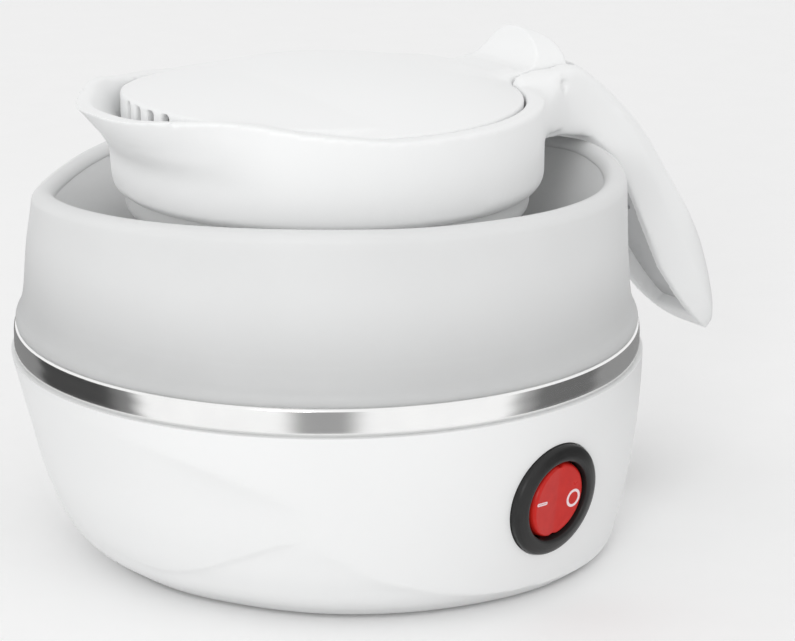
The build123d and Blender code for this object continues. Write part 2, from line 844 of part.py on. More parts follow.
def inlet_blades():
    start = inlet_face_x - inlet_depth - blade_tail
    end = inlet_face_x - inlet_depth + inlet_back + blade_reach
    places = ((-blade_spread, -blade_rise), (blade_spread, -blade_rise), (0, blade_rise))
    return [block((start, y - blade_width / 2, inlet_z + z - blade_height / 2),
                  (end, y + blade_width / 2, inlet_z + z + blade_height / 2)) for y, z in places]


# Heating parts


def element_plate():
    return tube(plate_radius, plate_bottom_z, pan_bottom_z)


def heating_element():
    section = Plane.XZ * (Pos(element_circle, plate_bottom_z - element_radius) * Circle(element_radius))
    gap = 180 - element_turn_angle / 2
    return Rot(0, 0, gap) * revolve(section, axis=Axis.Z, revolution_arc=element_turn_angle)


def cold_pins():
    gap = 180 - element_turn_angle / 2
    level = plate_bottom_z - element_radius
    rod = tube(cold_pin_radius, 0, cold_pin_length)
    return [Rot(0, 0, side * gap) * Pos(element_circle, 0, level) * Rot(side * 90, 0, 0) * rod for side in (-1, 1)]


def thermostat():
    top = plate_bottom_z
    flange_low = top - thermostat_flange_thickness
    return tube(thermostat_flange, flange_low, top) + tube(thermostat_radius, top - thermostat_height, flange_low)


def thermal_fuse():
    level = plate_bottom_z - fuse_radius
    return Pos(0, fuse_y, level) * Rot(0, 90, 0) * Cylinder(fuse_radius, fuse_length)


pieces = {
    "base_housing": base_housing, "bottom_cover": bottom_cover, "foot_ring": foot_ring,
    "bottom_screws": bottom_screws, "heating_pan": heating_pan, "trim_band": trim_band, "foot_hoop": foot_hoop,
    "silicone_body": silicone_body, "element_plate": element_plate, "heating_element": heating_element,
    "cold_pins": cold_pins, "thermostat": thermostat, "thermal_fuse": thermal_fuse, "power_inlet": power_inlet,
    "inlet_blades": inlet_blades, "switch_bezel": switch_bezel, "switch_body": switch_body,
    "switch_tabs": switch_tabs, "switch_lamp": switch_lamp, "rocker": rocker, "head_moulding": head_moulding,
    "neck_clamp": neck_clamp, "handle_liner": handle_liner, "handle_screws": handle_screws, "hinge_pin": hinge_pin,
    "lid_top": lid_top, "lid_plate": lid_plate, "lid_seal": lid_seal, "lid_screws": lid_screws,
}

os.makedirs("parts", exist_ok=True)
for name, make in pieces.items():
    made = make()
    solids = [s for item in (made if isinstance(made, list) else [made]) for s in item.solids()]
    export_step(Compound(children=solids) if len(solids) > 1 else solids[0], f"parts/{name}.step")
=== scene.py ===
from math import cos, pi, radians, sin

import bmesh
import bpy
import numpy as np
from mathutils import Matrix, Vector


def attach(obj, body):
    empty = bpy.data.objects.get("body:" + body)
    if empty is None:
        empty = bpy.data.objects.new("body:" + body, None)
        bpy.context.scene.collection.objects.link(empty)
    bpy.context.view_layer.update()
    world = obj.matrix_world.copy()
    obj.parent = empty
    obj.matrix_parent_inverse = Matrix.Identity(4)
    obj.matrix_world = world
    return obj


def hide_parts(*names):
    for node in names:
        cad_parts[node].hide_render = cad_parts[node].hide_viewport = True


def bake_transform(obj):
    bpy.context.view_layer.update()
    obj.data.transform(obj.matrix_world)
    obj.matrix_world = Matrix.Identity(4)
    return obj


# A folded travel kettle: white base, steel band, soft sleeve, and a head with spout, lid and handle.
# Metres. The kettle's axis is at the origin, +Z up, spout to -X, handle to +X, switch to the front right.

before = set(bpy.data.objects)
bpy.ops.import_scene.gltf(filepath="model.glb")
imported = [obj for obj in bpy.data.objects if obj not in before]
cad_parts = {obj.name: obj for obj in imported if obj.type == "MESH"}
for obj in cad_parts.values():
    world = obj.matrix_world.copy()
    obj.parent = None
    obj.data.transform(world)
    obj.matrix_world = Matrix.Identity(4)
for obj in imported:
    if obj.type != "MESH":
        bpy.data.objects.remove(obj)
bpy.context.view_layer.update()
MM = 0.001


# Camera: a long lens a little above the kettle. Square to the line from spout to handle at first, it goes
# round by VIEW_TURN towards the spout. Distances are from the kettle's axis and what it stands on.
VIEW_TURN = radians(33.0)
CAMERA_DISTANCE = 0.655
CAMERA_HEIGHT = 0.24286
CAMERA_PITCH = 0.2853
CAMERA_YAW = 0.0249
CAMERA_ROLL = 0.0067
LENS_PIXELS = 2925.6
PHOTO_WIDTH = 795.0
SENSOR = 36.0


def camera_axes():
    """Forward, right and up: the view turns about Z, tips down by the pitch, and rolls about itself."""
    heading = VIEW_TURN + CAMERA_YAW
    forward = Vector((sin(heading) * cos(CAMERA_PITCH), cos(heading) * cos(CAMERA_PITCH), -sin(CAMERA_PITCH)))
    level = forward.cross(Vector((0, 0, 1))).normalized()
    above = level.cross(forward)
    right = level * cos(CAMERA_ROLL) + above * sin(CAMERA_ROLL)
    return forward, right, right.cross(forward)


camera = bpy.data.objects.new("camera", bpy.data.cameras.new("camera"))
bpy.context.scene.collection.objects.link(camera)
camera.data.sensor_width = SENSOR
camera.data.lens = LENS_PIXELS / PHOTO_WIDTH * SENSOR
camera.data.clip_start = 0.01
camera.data.clip_end = 20.0
forward, right, above = camera_axes()
place = Vector((-sin(VIEW_TURN), -cos(VIEW_TURN), 0)) * CAMERA_DISTANCE + Vector((0, 0, CAMERA_HEIGHT))
camera.matrix_world = Matrix.Translation(place) @ Matrix((right, above, -forward)).transposed().to_4x4()
bpy.context.scene.camera = camera
bpy.context.scene.view_settings.view_transform = "Standard"


# Floor and lights: a pale matt sweep under a bright even dome, and a broad lamp at the left front.
# The floor shows the camera and gloss a whiter face than the one that lights the kettle from below.
FLOOR_SIZE = 6.0
FLOOR_GRAIN = 60.0
FLOOR_WHITE = (1.0, 1.0, 1.0, 1.0)
FLOOR_SHADE = (0.98, 0.98, 0.98, 1.0)
FLOOR_BOUNCE = (0.86, 0.86, 0.86, 1.0)
DOME_STRENGTH = 0.85
KEY_POWER = 3.6
KEY_SIZE = 0.34
KEY_PLACE = (-0.92, -0.86, 0.42)


class Shade:
    """A socket of a material's nodes. Sums, differences and products on it add Math nodes."""

    def __init__(self, tree, socket):
        self.tree = tree
        self.socket = socket

    def math(self, operation, *others):
        """A Math node on this value and the others."""
        return Nodes(self.tree).add("Math", {"operation": operation}, self, *others)

    def __add__(self, other):
        return self.math("ADD", other)

    __radd__ = __add__

    def __mul__(self, other):
        return self.math("MULTIPLY", other)

    __rmul__ = __mul__

    def __sub__(self, other):
        return self.math("SUBTRACT", other)

    def __rsub__(self, other):
        return self.math("MULTIPLY", -1.0).math("ADD", other)


class Nodes:
    """One material's node tree. add() makes a node, sets it up and feeds its sockets in order."""

    def __init__(self, tree):
        self.tree = tree

    def add(self, kind, settings=None, *feeds, out=0, **named):
        """One node: its type, its settings, and what goes into its sockets by order or by name."""
        node = self.tree.nodes.new("ShaderNode" + kind)
        for name, value in (settings or {}).items():
            setattr(node, name, value)
        for index, feed in enumerate(feeds):
            self.feed(node.inputs[index], feed)
        for name, feed in named.items():
            self.feed(node.inputs[name.replace("_", " ")], feed)
        return Shade(self.tree, node.outputs[out])

    def feed(self, socket, feed):
        """Links a value of the nodes to the socket, or sets the socket to a plain value."""
        if isinstance(feed, Shade):
            self.tree.links.new(feed.socket, socket)
        elif feed is not None:
            socket.default_value = feed


def blend_colours(nodes, factor, first, second):
    """Mix of two colours by a factor from 0 to 1. Five sockets of the node's other kinds lie between."""
    passed_over = [None] * 5
    return nodes.add("Mix", {"data_type": "RGBA"}, factor, *passed_over, first, second, out=2)


def new_material(name, **same_everywhere):
    """A material on the Principled shader. Values that are the same all over go on its own sockets."""
    made = bpy.data.materials.new(name)
    made.use_nodes = True
    shader = made.node_tree.nodes["Principled BSDF"]
    for socket, value in same_everywhere.items():
        shader.inputs[socket.replace("_", " ")].default_value = value
    return made, Nodes(made.node_tree), shader


def speckle(nodes, scale, detail=2.0):
    """Noise in the piece's own space, from 0 to 1. The scale is in grains for each metre."""
    spot = nodes.add("TexCoord", out=3)
    return nodes.add("TexNoise", None, spot, Scale=scale, Detail=detail)


def relief(nodes, shader, height, depth, strength=1.0):
    """A bump of the given depth in metres, fed by a height from 0 to 1."""
    bump = nodes.add("Bump", None, Height=height, Distance=depth, Strength=strength)
    nodes.feed(shader.inputs["Normal"], bump)


def seen_directly(nodes):
    """1 for what the camera, gloss and glass show of the studio, and 0 for what lights the kettle."""
    seen = nodes.add("LightPath", out="Is Camera Ray")
    for ray in ("Is Glossy Ray", "Is Transmission Ray"):
        seen = seen.math("MAXIMUM", nodes.add("LightPath", out=ray))
    return seen


def plane_piece(name, corners):
    """A flat piece with four corners."""
    mesh = bpy.data.meshes.new(name)
    mesh.from_pydata([tuple(corner) for corner in corners], [], [(0, 1, 2, 3)])
    made = bpy.data.objects.new(name, mesh)
    bpy.context.scene.collection.objects.link(made)
    return made


half = FLOOR_SIZE / 2
floor = plane_piece("floor", [(-half, -half, 0), (half, -half, 0), (half, half, 0), (-half, half, 0)])
floor_paint, nodes, shader = new_material("floor_paint", Roughness=0.9, Specular_IOR_Level=0.1)
grain = speckle(nodes, FLOOR_GRAIN)
seen_white = blend_colours(nodes, grain, FLOOR_WHITE, FLOOR_SHADE)
nodes.feed(shader.inputs["Base Color"], blend_colours(nodes, seen_directly(nodes), FLOOR_BOUNCE, seen_white))
floor.data.materials.append(floor_paint)

world = bpy.data.worlds.new("studio")
bpy.context.scene.world = world
world.use_nodes = True
dome = world.node_tree.nodes["Background"]
sky = Nodes(world.node_tree)
sky.feed(dome.inputs["Strength"], seen_directly(sky) * (1.0 - DOME_STRENGTH) + DOME_STRENGTH)
dome.inputs["Color"].default_value = (1, 1, 1, 1)

key = bpy.data.objects.new("key_lamp", bpy.data.lights.new("key_lamp", "AREA"))
key.data.energy = KEY_POWER
key.data.size = KEY_SIZE
key.location = KEY_PLACE
key.rotation_euler = (-Vector(KEY_PLACE)).to_track_quat("-Z", "Y").to_euler()
bpy.context.scene.collection.objects.link(key)


# Base housing: a white moulded barrel. Its spout side is cut in by an off-centre bowl, which meets the
# barrel in a slanting crease, and a second, fainter crease runs below it like a wave.
BASE_RADIUS = 73.4 * MM
BASE_FOOT = 68.2 * MM
BASE_MIDDLE = 71.6 * MM
BASE_RIM = 46.2 * MM
BASE_CLEAR = 0.8 * MM
BASE_MIDDLE_HEIGHT = 22.0 * MM
FOOT_ROUND = 4.0 * MM
BASE_WALL = 2.4 * MM
VIEW_ZERO = radians(-123.0)
BOWL_TURN = radians(-33.0)
BOWL_HEIGHTS = (0.0, 0.09, 0.2, 0.37, 0.67, 1.0)
BOWL_RADII = (0.81, 0.885, 0.928, 0.965, 0.998, 1.034)
BOWL_SHIFTS = (0.086, 0.081, 0.076, 0.067, 0.05, 0.035)
WAVE_TURNS = (-50.0, -44.9, -38.0, -31.1, -23.1, -15.9, -9.6, -4.0)
WAVE_HEIGHTS = (10.6, 9.5, 9.1, 9.7, 12.7, 16.7, 20.2, 22.6)
WAVE_BEGINS = (-56.0, -34.0)
WAVE_ENDS = (-9.0, -3.0)
WAVE_DEPTH = 0.6 * MM
WAVE_EDGE = 0.8 * MM
WAVE_FADE = 15.0 * MM
CREASE_BEGINS = (-38.0, -18.0)
CREASE_ENDS = (22.0, 62.0)
CREASE_DEPTH = 1.0 * MM
CREASE_EDGE = 0.45 * MM
CREASE_SOFT = 0.1 * MM
INLET_PLACE = (0.0698, 0.0, 0.0157)
INLET_FLANGE_CUT = ((-1.8, -15.5, -11.7), (9.0, 15.5, 11.7))
INLET_BODY_CUT = ((-9.0, -13.6, -9.8), (9.0, 13.6, 9.8))
DENSE_TURNS = (-62.0, 66.0)
SWITCH_TURN = radians(-79.2)
SWITCH_LEAN = radians(7.3)
SWITCH_SEAT = 72.02 * MM
SWITCH_HEIGHT = 25.0 * MM
SWITCH_HOLE = 11.2 * MM
SWITCH_ROOM = 12.0 * MM
CUT_PROUD = 8.0 * MM
BEZEL_HOLE = 13.2 * MM
BEZEL_BACK = 1.5 * MM
COVER_RADIUS = 50.6 * MM
COVER_TOP = 3.6 * MM
FLOOR_TOP = 5.6 * MM
LEDGE_RADIUS = 38.0 * MM
SHELF_TOP = 45.4 * MM
SHELF_BOTTOM = 42.9 * MM
SHELF_RADIUS = 60.5 * MM
FLANGE_SEAT = 68.7 * MM


def curve_through(x, xs, ys):
    """Cubic curve through points: each slope is that between the point's two neighbours."""
    xs = np.asarray(xs, float)
    ys = np.asarray(ys, float)
    slope = np.gradient(ys, xs)
    i = np.clip(np.searchsorted(xs, x) - 1, 0, len(xs) - 2)
    wide = xs[i + 1] - xs[i]
    t = np.clip((x - xs[i]) / wide, 0.0, 1.0)
    ends = ys[i] * (1 + 2 * t) * (1 - t) ** 2 + ys[i + 1] * t * t * (3 - 2 * t)
    return ends + wide * (slope[i] * t * (1 - t) ** 2 - slope[i + 1] * t * t * (1 - t))


def smooth_step(x, low, high):
    """0 below low, 1 above high, and an S-shaped cubic between them."""
    t = np.clip((x - low) / (high - low), 0.0, 1.0)
    return t * t * (3 - 2 * t)


def soft_least(a, b, width):
    """The lesser of a and b, rounded over about the given width where they cross."""
    gap = np.sqrt((a - b) ** 2 + width * width)
    return (a + b - gap) / 2


def barrel_radius(z):
    """Radius of the plain barrel: an arc through foot, switch height and rim, and a quarter round below."""
    mid_share = (BASE_MIDDLE_HEIGHT - BASE_CLEAR - FOOT_ROUND) / (BASE_RIM - BASE_CLEAR - FOOT_ROUND)
    t = (z - BASE_CLEAR - FOOT_ROUND) / (BASE_RIM - BASE_CLEAR - FOOT_ROUND)
    chord = BASE_FOOT + (BASE_RADIUS - BASE_FOOT) * t
    swell = BASE_MIDDLE - BASE_FOOT - (BASE_RADIUS - BASE_FOOT) * mid_share
    side = chord + swell * t * (1 - t) / (mid_share * (1 - mid_share))
    down = np.clip((BASE_CLEAR + FOOT_ROUND - z) / FOOT_ROUND, 0.0, 1.0)
    foot = BASE_FOOT - FOOT_ROUND * (1 - np.sqrt(1 - down * down))
    return np.where(z < BASE_CLEAR + FOOT_ROUND, foot, side)


def bowl_radius_at(theta, z):
    """Distance from the axis to a circle whose centre lies off the axis towards BOWL_TURN."""
    share = (z - BASE_CLEAR) / (BASE_RIM - BASE_CLEAR)
    radius = BASE_RADIUS * curve_through(share, BOWL_HEIGHTS, BOWL_RADII)
    shift = BASE_RADIUS * curve_through(share, BOWL_HEIGHTS, BOWL_SHIFTS)
    turn = theta - BOWL_TURN
    return shift * np.cos(turn) + np.sqrt(radius ** 2 - (shift * np.sin(turn)) ** 2)


def base_skin(theta, z):
    """Outer radius: the softened lesser of barrel and bowl, with the crease and the wave cut in."""
    barrel = barrel_radius(z)
    bowl = bowl_radius_at(theta, z)
    cut = np.maximum(barrel - soft_least(barrel, bowl, CREASE_SOFT), 0.0)
    phi = np.degrees((theta - VIEW_ZERO + pi) % (2 * pi) - pi)
    crease_fade = smooth_step(phi, *CREASE_BEGINS) * (1 - smooth_step(phi, *CREASE_ENDS))
    radius = barrel - cut - CREASE_DEPTH * crease_fade * (1 - np.exp(-cut / CREASE_EDGE))
    below = curve_through(phi, WAVE_TURNS, WAVE_HEIGHTS) * MM - z
    wave_fade = smooth_step(phi, *WAVE_BEGINS) * (1 - smooth_step(phi, *WAVE_ENDS))
    step = (1 - np.exp(-np.maximum(below, 0) / WAVE_EDGE)) * np.exp(-np.maximum(below, 0) / WAVE_FADE)
    return radius - WAVE_DEPTH * wave_fade * step


def surface(name, points, close_columns=True, close_rows=False):
    """A mesh from a grid of points, rows by columns by 3. Closing joins the last row or column to the
    first, and each face takes four points that are neighbours in the grid."""
    rows, columns = points.shape[:2]
    row = np.arange(rows if close_rows else rows - 1)
    column = np.arange(columns if close_columns else columns - 1)
    here, there = np.meshgrid(row, column, indexing="ij")
    up = (here + 1) % rows
    side = (there + 1) % columns
    low = here * columns
    high = up * columns
    faces = np.stack([low + there, low + side, high + side, high + there], -1)
    mesh = bpy.data.meshes.new(name)
    mesh.from_pydata(points.reshape(-1, 3).tolist(), [], faces.reshape(-1, 4).tolist())
    made = bpy.data.objects.new(name, mesh)
    bpy.context.scene.collection.objects.link(made)
    return made


def tidy_mesh(piece, merge=1e-6):
    """Merges doubled points, such as a pole's, and turns every face outwards."""
    work = bmesh.new()
    work.from_mesh(piece.data)
    bmesh.ops.remove_doubles(work, verts=work.verts, dist=merge)
    bmesh.ops.dissolve_degenerate(work, edges=work.edges, dist=merge)
    bmesh.ops.recalc_face_normals(work, faces=work.faces)
    work.to_mesh(piece.data)
    work.free()


def around_axis(radii, heights, theta):
    """Points of a profile turned about the Z axis. Radii may differ by angle: rows by columns."""
    radii = np.broadcast_to(np.asarray(radii, float).reshape(len(heights), -1), (len(heights), len(theta)))
    heights = np.broadcast_to(np.asarray(heights, float).reshape(len(heights), -1), radii.shape)
    return np.stack([radii * np.cos(theta), radii * np.sin(theta), heights], -1)


def keep(piece, mesh):
    """Gives the piece a new finished mesh in place of its old one."""
    old = piece.data
    piece.modifiers.clear()
    piece.data = mesh
    bpy.data.meshes.remove(old)


def settled(piece):
    """The piece's mesh with its modifiers worked in."""
    graph = bpy.context.evaluated_depsgraph_get()
    return bpy.data.meshes.new_from_object(piece.evaluated_get(graph))


def carve(piece, *cutters):
    """Cuts the cutters' shapes out of the piece and removes the cutters."""
    for cutter in cutters:
        cut = piece.modifiers.new("cut", "BOOLEAN")
        cut.operation = "DIFFERENCE"
        cut.solver = "EXACT"
        cut.object = cutter
    keep(piece, settled(piece))
    for cutter in cutters:
        bpy.data.objects.remove(cutter)


def dress(piece, material, body, slot, *nodes_replaced, sharp=35.0):
    """Gives a piece smooth shading up to the sharp angle, its material and body, and the CAD nodes
    that it stands for. The slot is not used."""
    piece.data.materials.clear()
    piece.data.materials.append(material)
    piece.data.shade_smooth()
    piece.data.set_sharp_from_angle(angle=radians(sharp))
    if nodes_replaced:
        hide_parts(*nodes_replaced)
    if body:
        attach(piece, body)
    return piece


def paint(node, material):
    """A CAD node that keeps its own shape and gets a finished material."""
    node_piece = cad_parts[node]
    node_piece.data.materials.clear()
    node_piece.data.materials.append(material)


def lathe_cutter(matrix, radius, low, high, sides=96):
    """A closed cylinder in a plane's own frame, used only to cut."""
    turn = np.linspace(0, 2 * pi, sides, endpoint=False)
    points = around_axis([0, radius, radius, 0], [low, low, high, high], turn)
    made = surface("cutter", points)
    tidy_mesh(made)
    made.data.transform(matrix)
    return made


def box_cutter(low, high):
    """A box between two corners, used only to cut."""
    work = bmesh.new()
    bmesh.ops.create_cube(work, size=1.0)
    size = Vector(high) - Vector(low)
    bmesh.ops.scale(work, vec=size, verts=work.verts)
    bmesh.ops.translate(work, vec=(Vector(high) + Vector(low)) / 2, verts=work.verts)
    mesh = bpy.data.meshes.new("cutter")
    work.to_mesh(mesh)
    work.free()
    made = bpy.data.objects.new("cutter", mesh)
    bpy.context.scene.collection.objects.link(made)
    return made


def switch_frame():
    """The switch's own frame: Z out of the panel, X level along it, on the barrel at the switch's height."""
    east = cos(SWITCH_TURN)
    north = sin(SWITCH_TURN)
    out = Vector((east * cos(SWITCH_LEAN), north * cos(SWITCH_LEAN), -sin(SWITCH_LEAN)))
    level = Vector((-north, east, 0))
    turned = Matrix((level, out.cross(level), out)).transposed().to_4x4()
    return Matrix.Translation((SWITCH_SEAT * east, SWITCH_SEAT * north, SWITCH_HEIGHT)) @ turned


def white_plastic(name, colour, shade, grain_depth=0.00004):
    """Moulded polypropylene: almost even white, a soft satin gloss and a very fine skin."""
    made, nodes, shader = new_material(name, Specular_IOR_Level=0.35)
    clouds = speckle(nodes, 22.0, 3.0)
    nodes.feed(shader.inputs["Base Color"], blend_colours(nodes, clouds, colour, shade))
    fine = speckle(nodes, 900.0, 2.0)
    nodes.feed(shader.inputs["Roughness"], fine * 0.12 + clouds * 0.08 + 0.3)
    relief(nodes, shader, speckle(nodes, 1400.0, 1.0), grain_depth, 0.25)
    return made


base_white = white_plastic("base_white", (0.875, 0.88, 0.88, 1), (0.855, 0.86, 0.86, 1))
dense_start = VIEW_ZERO + radians(DENSE_TURNS[0])
dense_end = VIEW_ZERO + radians(DENSE_TURNS[1])
dense = np.linspace(dense_start, dense_end, 300, endpoint=False)
coarse = np.linspace(dense_end, dense_start + 2 * pi, 150, endpoint=False)
theta = np.concatenate([dense, coarse])
skin_z = np.linspace(BASE_RIM, BASE_CLEAR + FOOT_ROUND, 92)
round_z = BASE_CLEAR + FOOT_ROUND * (1 - np.sin(np.linspace(0, pi / 2, 10)[1:]))
skin_z = np.concatenate([skin_z, round_z])
skin = base_skin(theta[None, :], skin_z[:, None])
inner_z = np.linspace(FLOOR_TOP, SHELF_BOTTOM, 12)
inner = base_skin(theta[None, :], inner_z[:, None]) - BASE_WALL
rest_radii = [COVER_RADIUS, COVER_RADIUS, LEDGE_RADIUS, LEDGE_RADIUS]
rest_heights = [BASE_CLEAR, COVER_TOP, COVER_TOP, FLOOR_TOP]
top_radii = [SHELF_RADIUS, SHELF_RADIUS, FLANGE_SEAT, FLANGE_SEAT]
top_heights = [SHELF_BOTTOM, SHELF_TOP, SHELF_TOP, BASE_RIM]
grid = np.concatenate([
    around_axis(skin, skin_z, theta),
    around_axis(rest_radii, rest_heights, theta),
    around_axis(inner, inner_z, theta),
    around_axis(top_radii, top_heights, theta)])
housing = surface("base_housing_skin", grid, close_rows=True)
tidy_mesh(housing)
panel = switch_frame()
inlet_cuts = [
    box_cutter(*(np.array(INLET_PLACE) + np.array(corner) * MM for corner in corners))
    for corners in (INLET_FLANGE_CUT, INLET_BODY_CUT)]
carve(
    housing,
    lathe_cutter(panel, SWITCH_HOLE, -SWITCH_ROOM, CUT_PROUD),
    lathe_cutter(panel, BEZEL_HOLE, -BEZEL_BACK, CUT_PROUD),
    *inlet_cuts)
dress(housing, base_white, "base", "base_plastic", "base_housing", sharp=28.0)


# Bottom cover, foot ring and screws: a moulded white disc screwed to the housing's bosses, with a soft grey
# rubber ring pressed into its groove. All screws and pins of the kettle are bright zinc.
paint("bottom_cover", base_white)
foot_grey, nodes, shader = new_material("foot_grey", Specular_IOR_Level=0.2)
dust = speckle(nodes, 300.0, 4.0)
rubber = (0.4, 0.4, 0.4, 1)
dusty = (0.47, 0.47, 0.47, 1)
nodes.feed(shader.inputs["Base Color"], blend_colours(nodes, dust, rubber, dusty))
nodes.feed(shader.inputs["Roughness"], dust * 0.2 + 0.65)
relief(nodes, shader, speckle(nodes, 2200.0, 1.0), 0.0001, 0.4)
paint("foot_ring", foot_grey)


def turned_steel(name, colour, dark, low_gloss, spread):
    """Bare metal with fine scratches round the axis and a little smoke in the polish."""
    made, nodes, shader = new_material(name, Metallic=1.0)
    spot = nodes.add("TexCoord", out=3)
    stretched = nodes.add("Mapping", None, spot, Scale=(14.0, 14.0, 3200.0))
    lines = nodes.add("TexNoise", None, stretched, Scale=1.0, Detail=3.0)
    smoke = speckle(nodes, 120.0, 5.0)
    nodes.feed(shader.inputs["Base Color"], blend_colours(nodes, smoke, colour, dark))
    nodes.feed(shader.inputs["Roughness"], lines * spread + smoke * spread + low_gloss)
    relief(nodes, shader, lines, 0.00003, 0.3)
    return made


screw_zinc = turned_steel("screw_zinc", (0.62, 0.62, 0.64, 1), (0.5, 0.5, 0.52, 1), 0.25, 0.1)
for node in ("bottom_screws", "handle_screws", "lid_screws", "cold_pins", "thermal_fuse", "hinge_pin"):
    paint(node, screw_zinc)


# Steel pan, hoop, element and plate: the drawn pan and the rolled hoop clamp the sleeve's foot, and the cast
# aluminium plate with the element sits under the pan. They show only when the lid is open.
pan_steel = turned_steel("pan_steel", (0.66, 0.66, 0.66, 1), (0.6, 0.6, 0.61, 1), 0.2, 0.12)
for node in ("heating_pan", "foot_hoop", "heating_element"):
    paint(node, pan_steel)
cast_grey = turned_steel("cast_grey", (0.7, 0.7, 0.71, 1), (0.6, 0.6, 0.61, 1), 0.4, 0.2)
paint("element_plate", cast_grey)


# Steel band: a strip of polished stainless steel, rolled into a ring and pressed over the joint. Grey and
# black studio cards stand low round the kettle, and only gloss mirrors them. Each has a start and an end in
# degrees to the right of the camera, and a tone. Their edges are soft.
BAND_LOW = 46.2 * MM
BAND_TOP = 52.6 * MM
BAND_RADIUS = 72.6 * MM
BAND_INNER = 70.5 * MM
BAND_HEIGHTS = np.array([0.0, 0.06, 0.12, 0.2, 0.5, 0.84, 0.92, 0.97, 1.0])
BAND_PROUD = np.array([-0.6, -0.2, -0.06, 0.0, 0.0, -0.04, -0.12, -0.32, -0.7]) * MM

CARD_RADIUS = 150.0 * MM
CARD_FOOT = 1.0 * MM
CARD_TOP = 58.0 * MM
CARD_SPAN = 150.0
CARD_EDGE = 8.0
CARDS = (
    (-160.0, -100.5, 0.24),
    (-100.5, -63.5, 0.05),
    (-63.5, -54.5, 0.19),
    (-9.5, 7.5, 0.35),
    (53.5, 60.5, 0.37),
    (60.5, 89.0, 0.14),
    (89.0, 160.0, 0.28))


def card_tones(turn):
    """White, less each card's darkness where the card stands, with an S-shaped fade over its edges."""
    tone = np.ones_like(turn)
    half_edge = CARD_EDGE / 2
    for first, last, shade in CARDS:
        begun = smooth_step(turn, first - half_edge, first + half_edge)
        ended = smooth_step(turn, last - half_edge, last + half_edge)
        tone = tone - (1 - shade) * (begun - ended)
    return tone


band_steel = turned_steel("band_steel", (0.93, 0.93, 0.92, 1), (0.84, 0.84, 0.84, 1), 0.06, 0.08)
card_turn = np.linspace(-CARD_SPAN, CARD_SPAN, 301)
card_theta = VIEW_ZERO + np.radians(card_turn)
card_points = around_axis([CARD_RADIUS, CARD_RADIUS], [CARD_FOOT, CARD_TOP], card_theta)
cards = surface("studio_cards", card_points, close_columns=False)
tone_data = cards.data.color_attributes.new("tone", "FLOAT_COLOR", "POINT")
tone_data.data.foreach_set("color", np.repeat(np.tile(card_tones(card_turn), 2), 4))
card_paper, nodes, shader = new_material("card_paper", Roughness=1.0, Emission_Strength=1.0)
shader.inputs["Base Color"].default_value = (0, 0, 0, 1)
nodes.feed(shader.inputs["Emission Color"], nodes.add("VertexColor", {"layer_name": "tone"}))
cards.data.materials.append(card_paper)
cards.visible_camera = False
cards.visible_diffuse = False
cards.visible_transmission = False
cards.visible_shadow = False
turn = np.linspace(0, 2 * pi, 400, endpoint=False)
height = np.linspace(0, 1, 36)
band_z = BAND_LOW + (BAND_TOP - BAND_LOW) * height
band_r = BAND_RADIUS + curve_through(height, BAND_HEIGHTS, BAND_PROUD)
band_z = np.concatenate([band_z, [BAND_TOP, BAND_LOW]])
band_r = np.concatenate([band_r, [BAND_INNER, BAND_INNER]])
band = surface("trim_band_strip", around_axis(band_r, band_z, turn), close_rows=True)
tidy_mesh(band)
dress(band, band_steel, "base", "band_steel", "trim_band")


# Silicone sleeve: one soft moulding folded like the letter S. Its outer wall flares over the band, rolls
# over a wavy lip, goes down inside to a fold and up again to the neck, which the head's clamp ring holds.
WALL = 2.2 * MM
SLEEVE_OUTER = 68.3 * MM
LIP_TOP = 86.6 * MM
LIP_ROLL = 1.6 * MM
FLARE_HEIGHTS = np.array([52.6, 53.0, 53.6, 54.4, 55.6, 57.6, 61.0]) * MM
FLARE_RADII = np.array([70.4, 70.85, 71.05, 70.9, 70.3, 69.6, 69.0]) * MM
LIP_BEGINS = 68.0 * MM
LIP_TURNS = (-180, -160, -140, -129, -118, -107, -96, -84, -72, -59, -43, -29,
             -15, 0, 17, 34, 50, 76, 99, 113, 126, 140, 160, 180)
LIP_CRESTS = (85.4, 85.9, 85.8, 85.1, 83.9, 82.7, 82.4, 83.6, 85.2, 86.4, 87.6, 88.5,
              89.2, 89.5, 89.2, 88.9, 88.3, 87.6, 88.0, 87.8, 86.4, 85.4, 85.1, 85.4)
# Painted shade: the silicone's colour is grey below the first height and pale above the second, as light
# falls on the walls.
SILICONE_SHADED_BELOW = 52.6 * MM
SILICONE_LIT_ABOVE = 78.0 * MM
LIP_SWAY = 0.5 * MM
LIP_SWAY_TURN = radians(-75.0)
FOLD_CENTRE = 61.05 * MM
FOLD_ROLL = 4.35 * MM
NECK_RADIUS = 45.3 * MM
NECK_TOP = 92.0 * MM
NECK_WAIST = 41.5 * MM
NECK_WAIST_TOP = 77.0 * MM
NECK_GRIP = 80.6 * MM
SLEEVE_SPLIT = 66.0 * MM


def offset_pair(line):
    """Both faces of a sheet: a line of (radius, height) points moved half the wall to either side."""
    ahead = np.gradient(line, axis=0)
    ahead /= np.linalg.norm(ahead, axis=1)[:, None]
    normal = np.stack([ahead[:, 1], -ahead[:, 0]], -1)
    return line + normal * WALL / 2, line - normal * WALL / 2


def arc(centre, radius, start, end, count):
    """Points of a circle arc in the (radius, height) plane."""
    turn = np.radians(np.linspace(start, end, count))
    return np.stack([centre[0] + radius * np.cos(turn), centre[1] + radius * np.sin(turn)], -1)


def straight(start, end, count):
    """Points of a straight line in the (radius, height) plane."""
    share = np.linspace(0, 1, count)[:, None]
    return np.array(start) * (1 - share) + np.array(end) * share


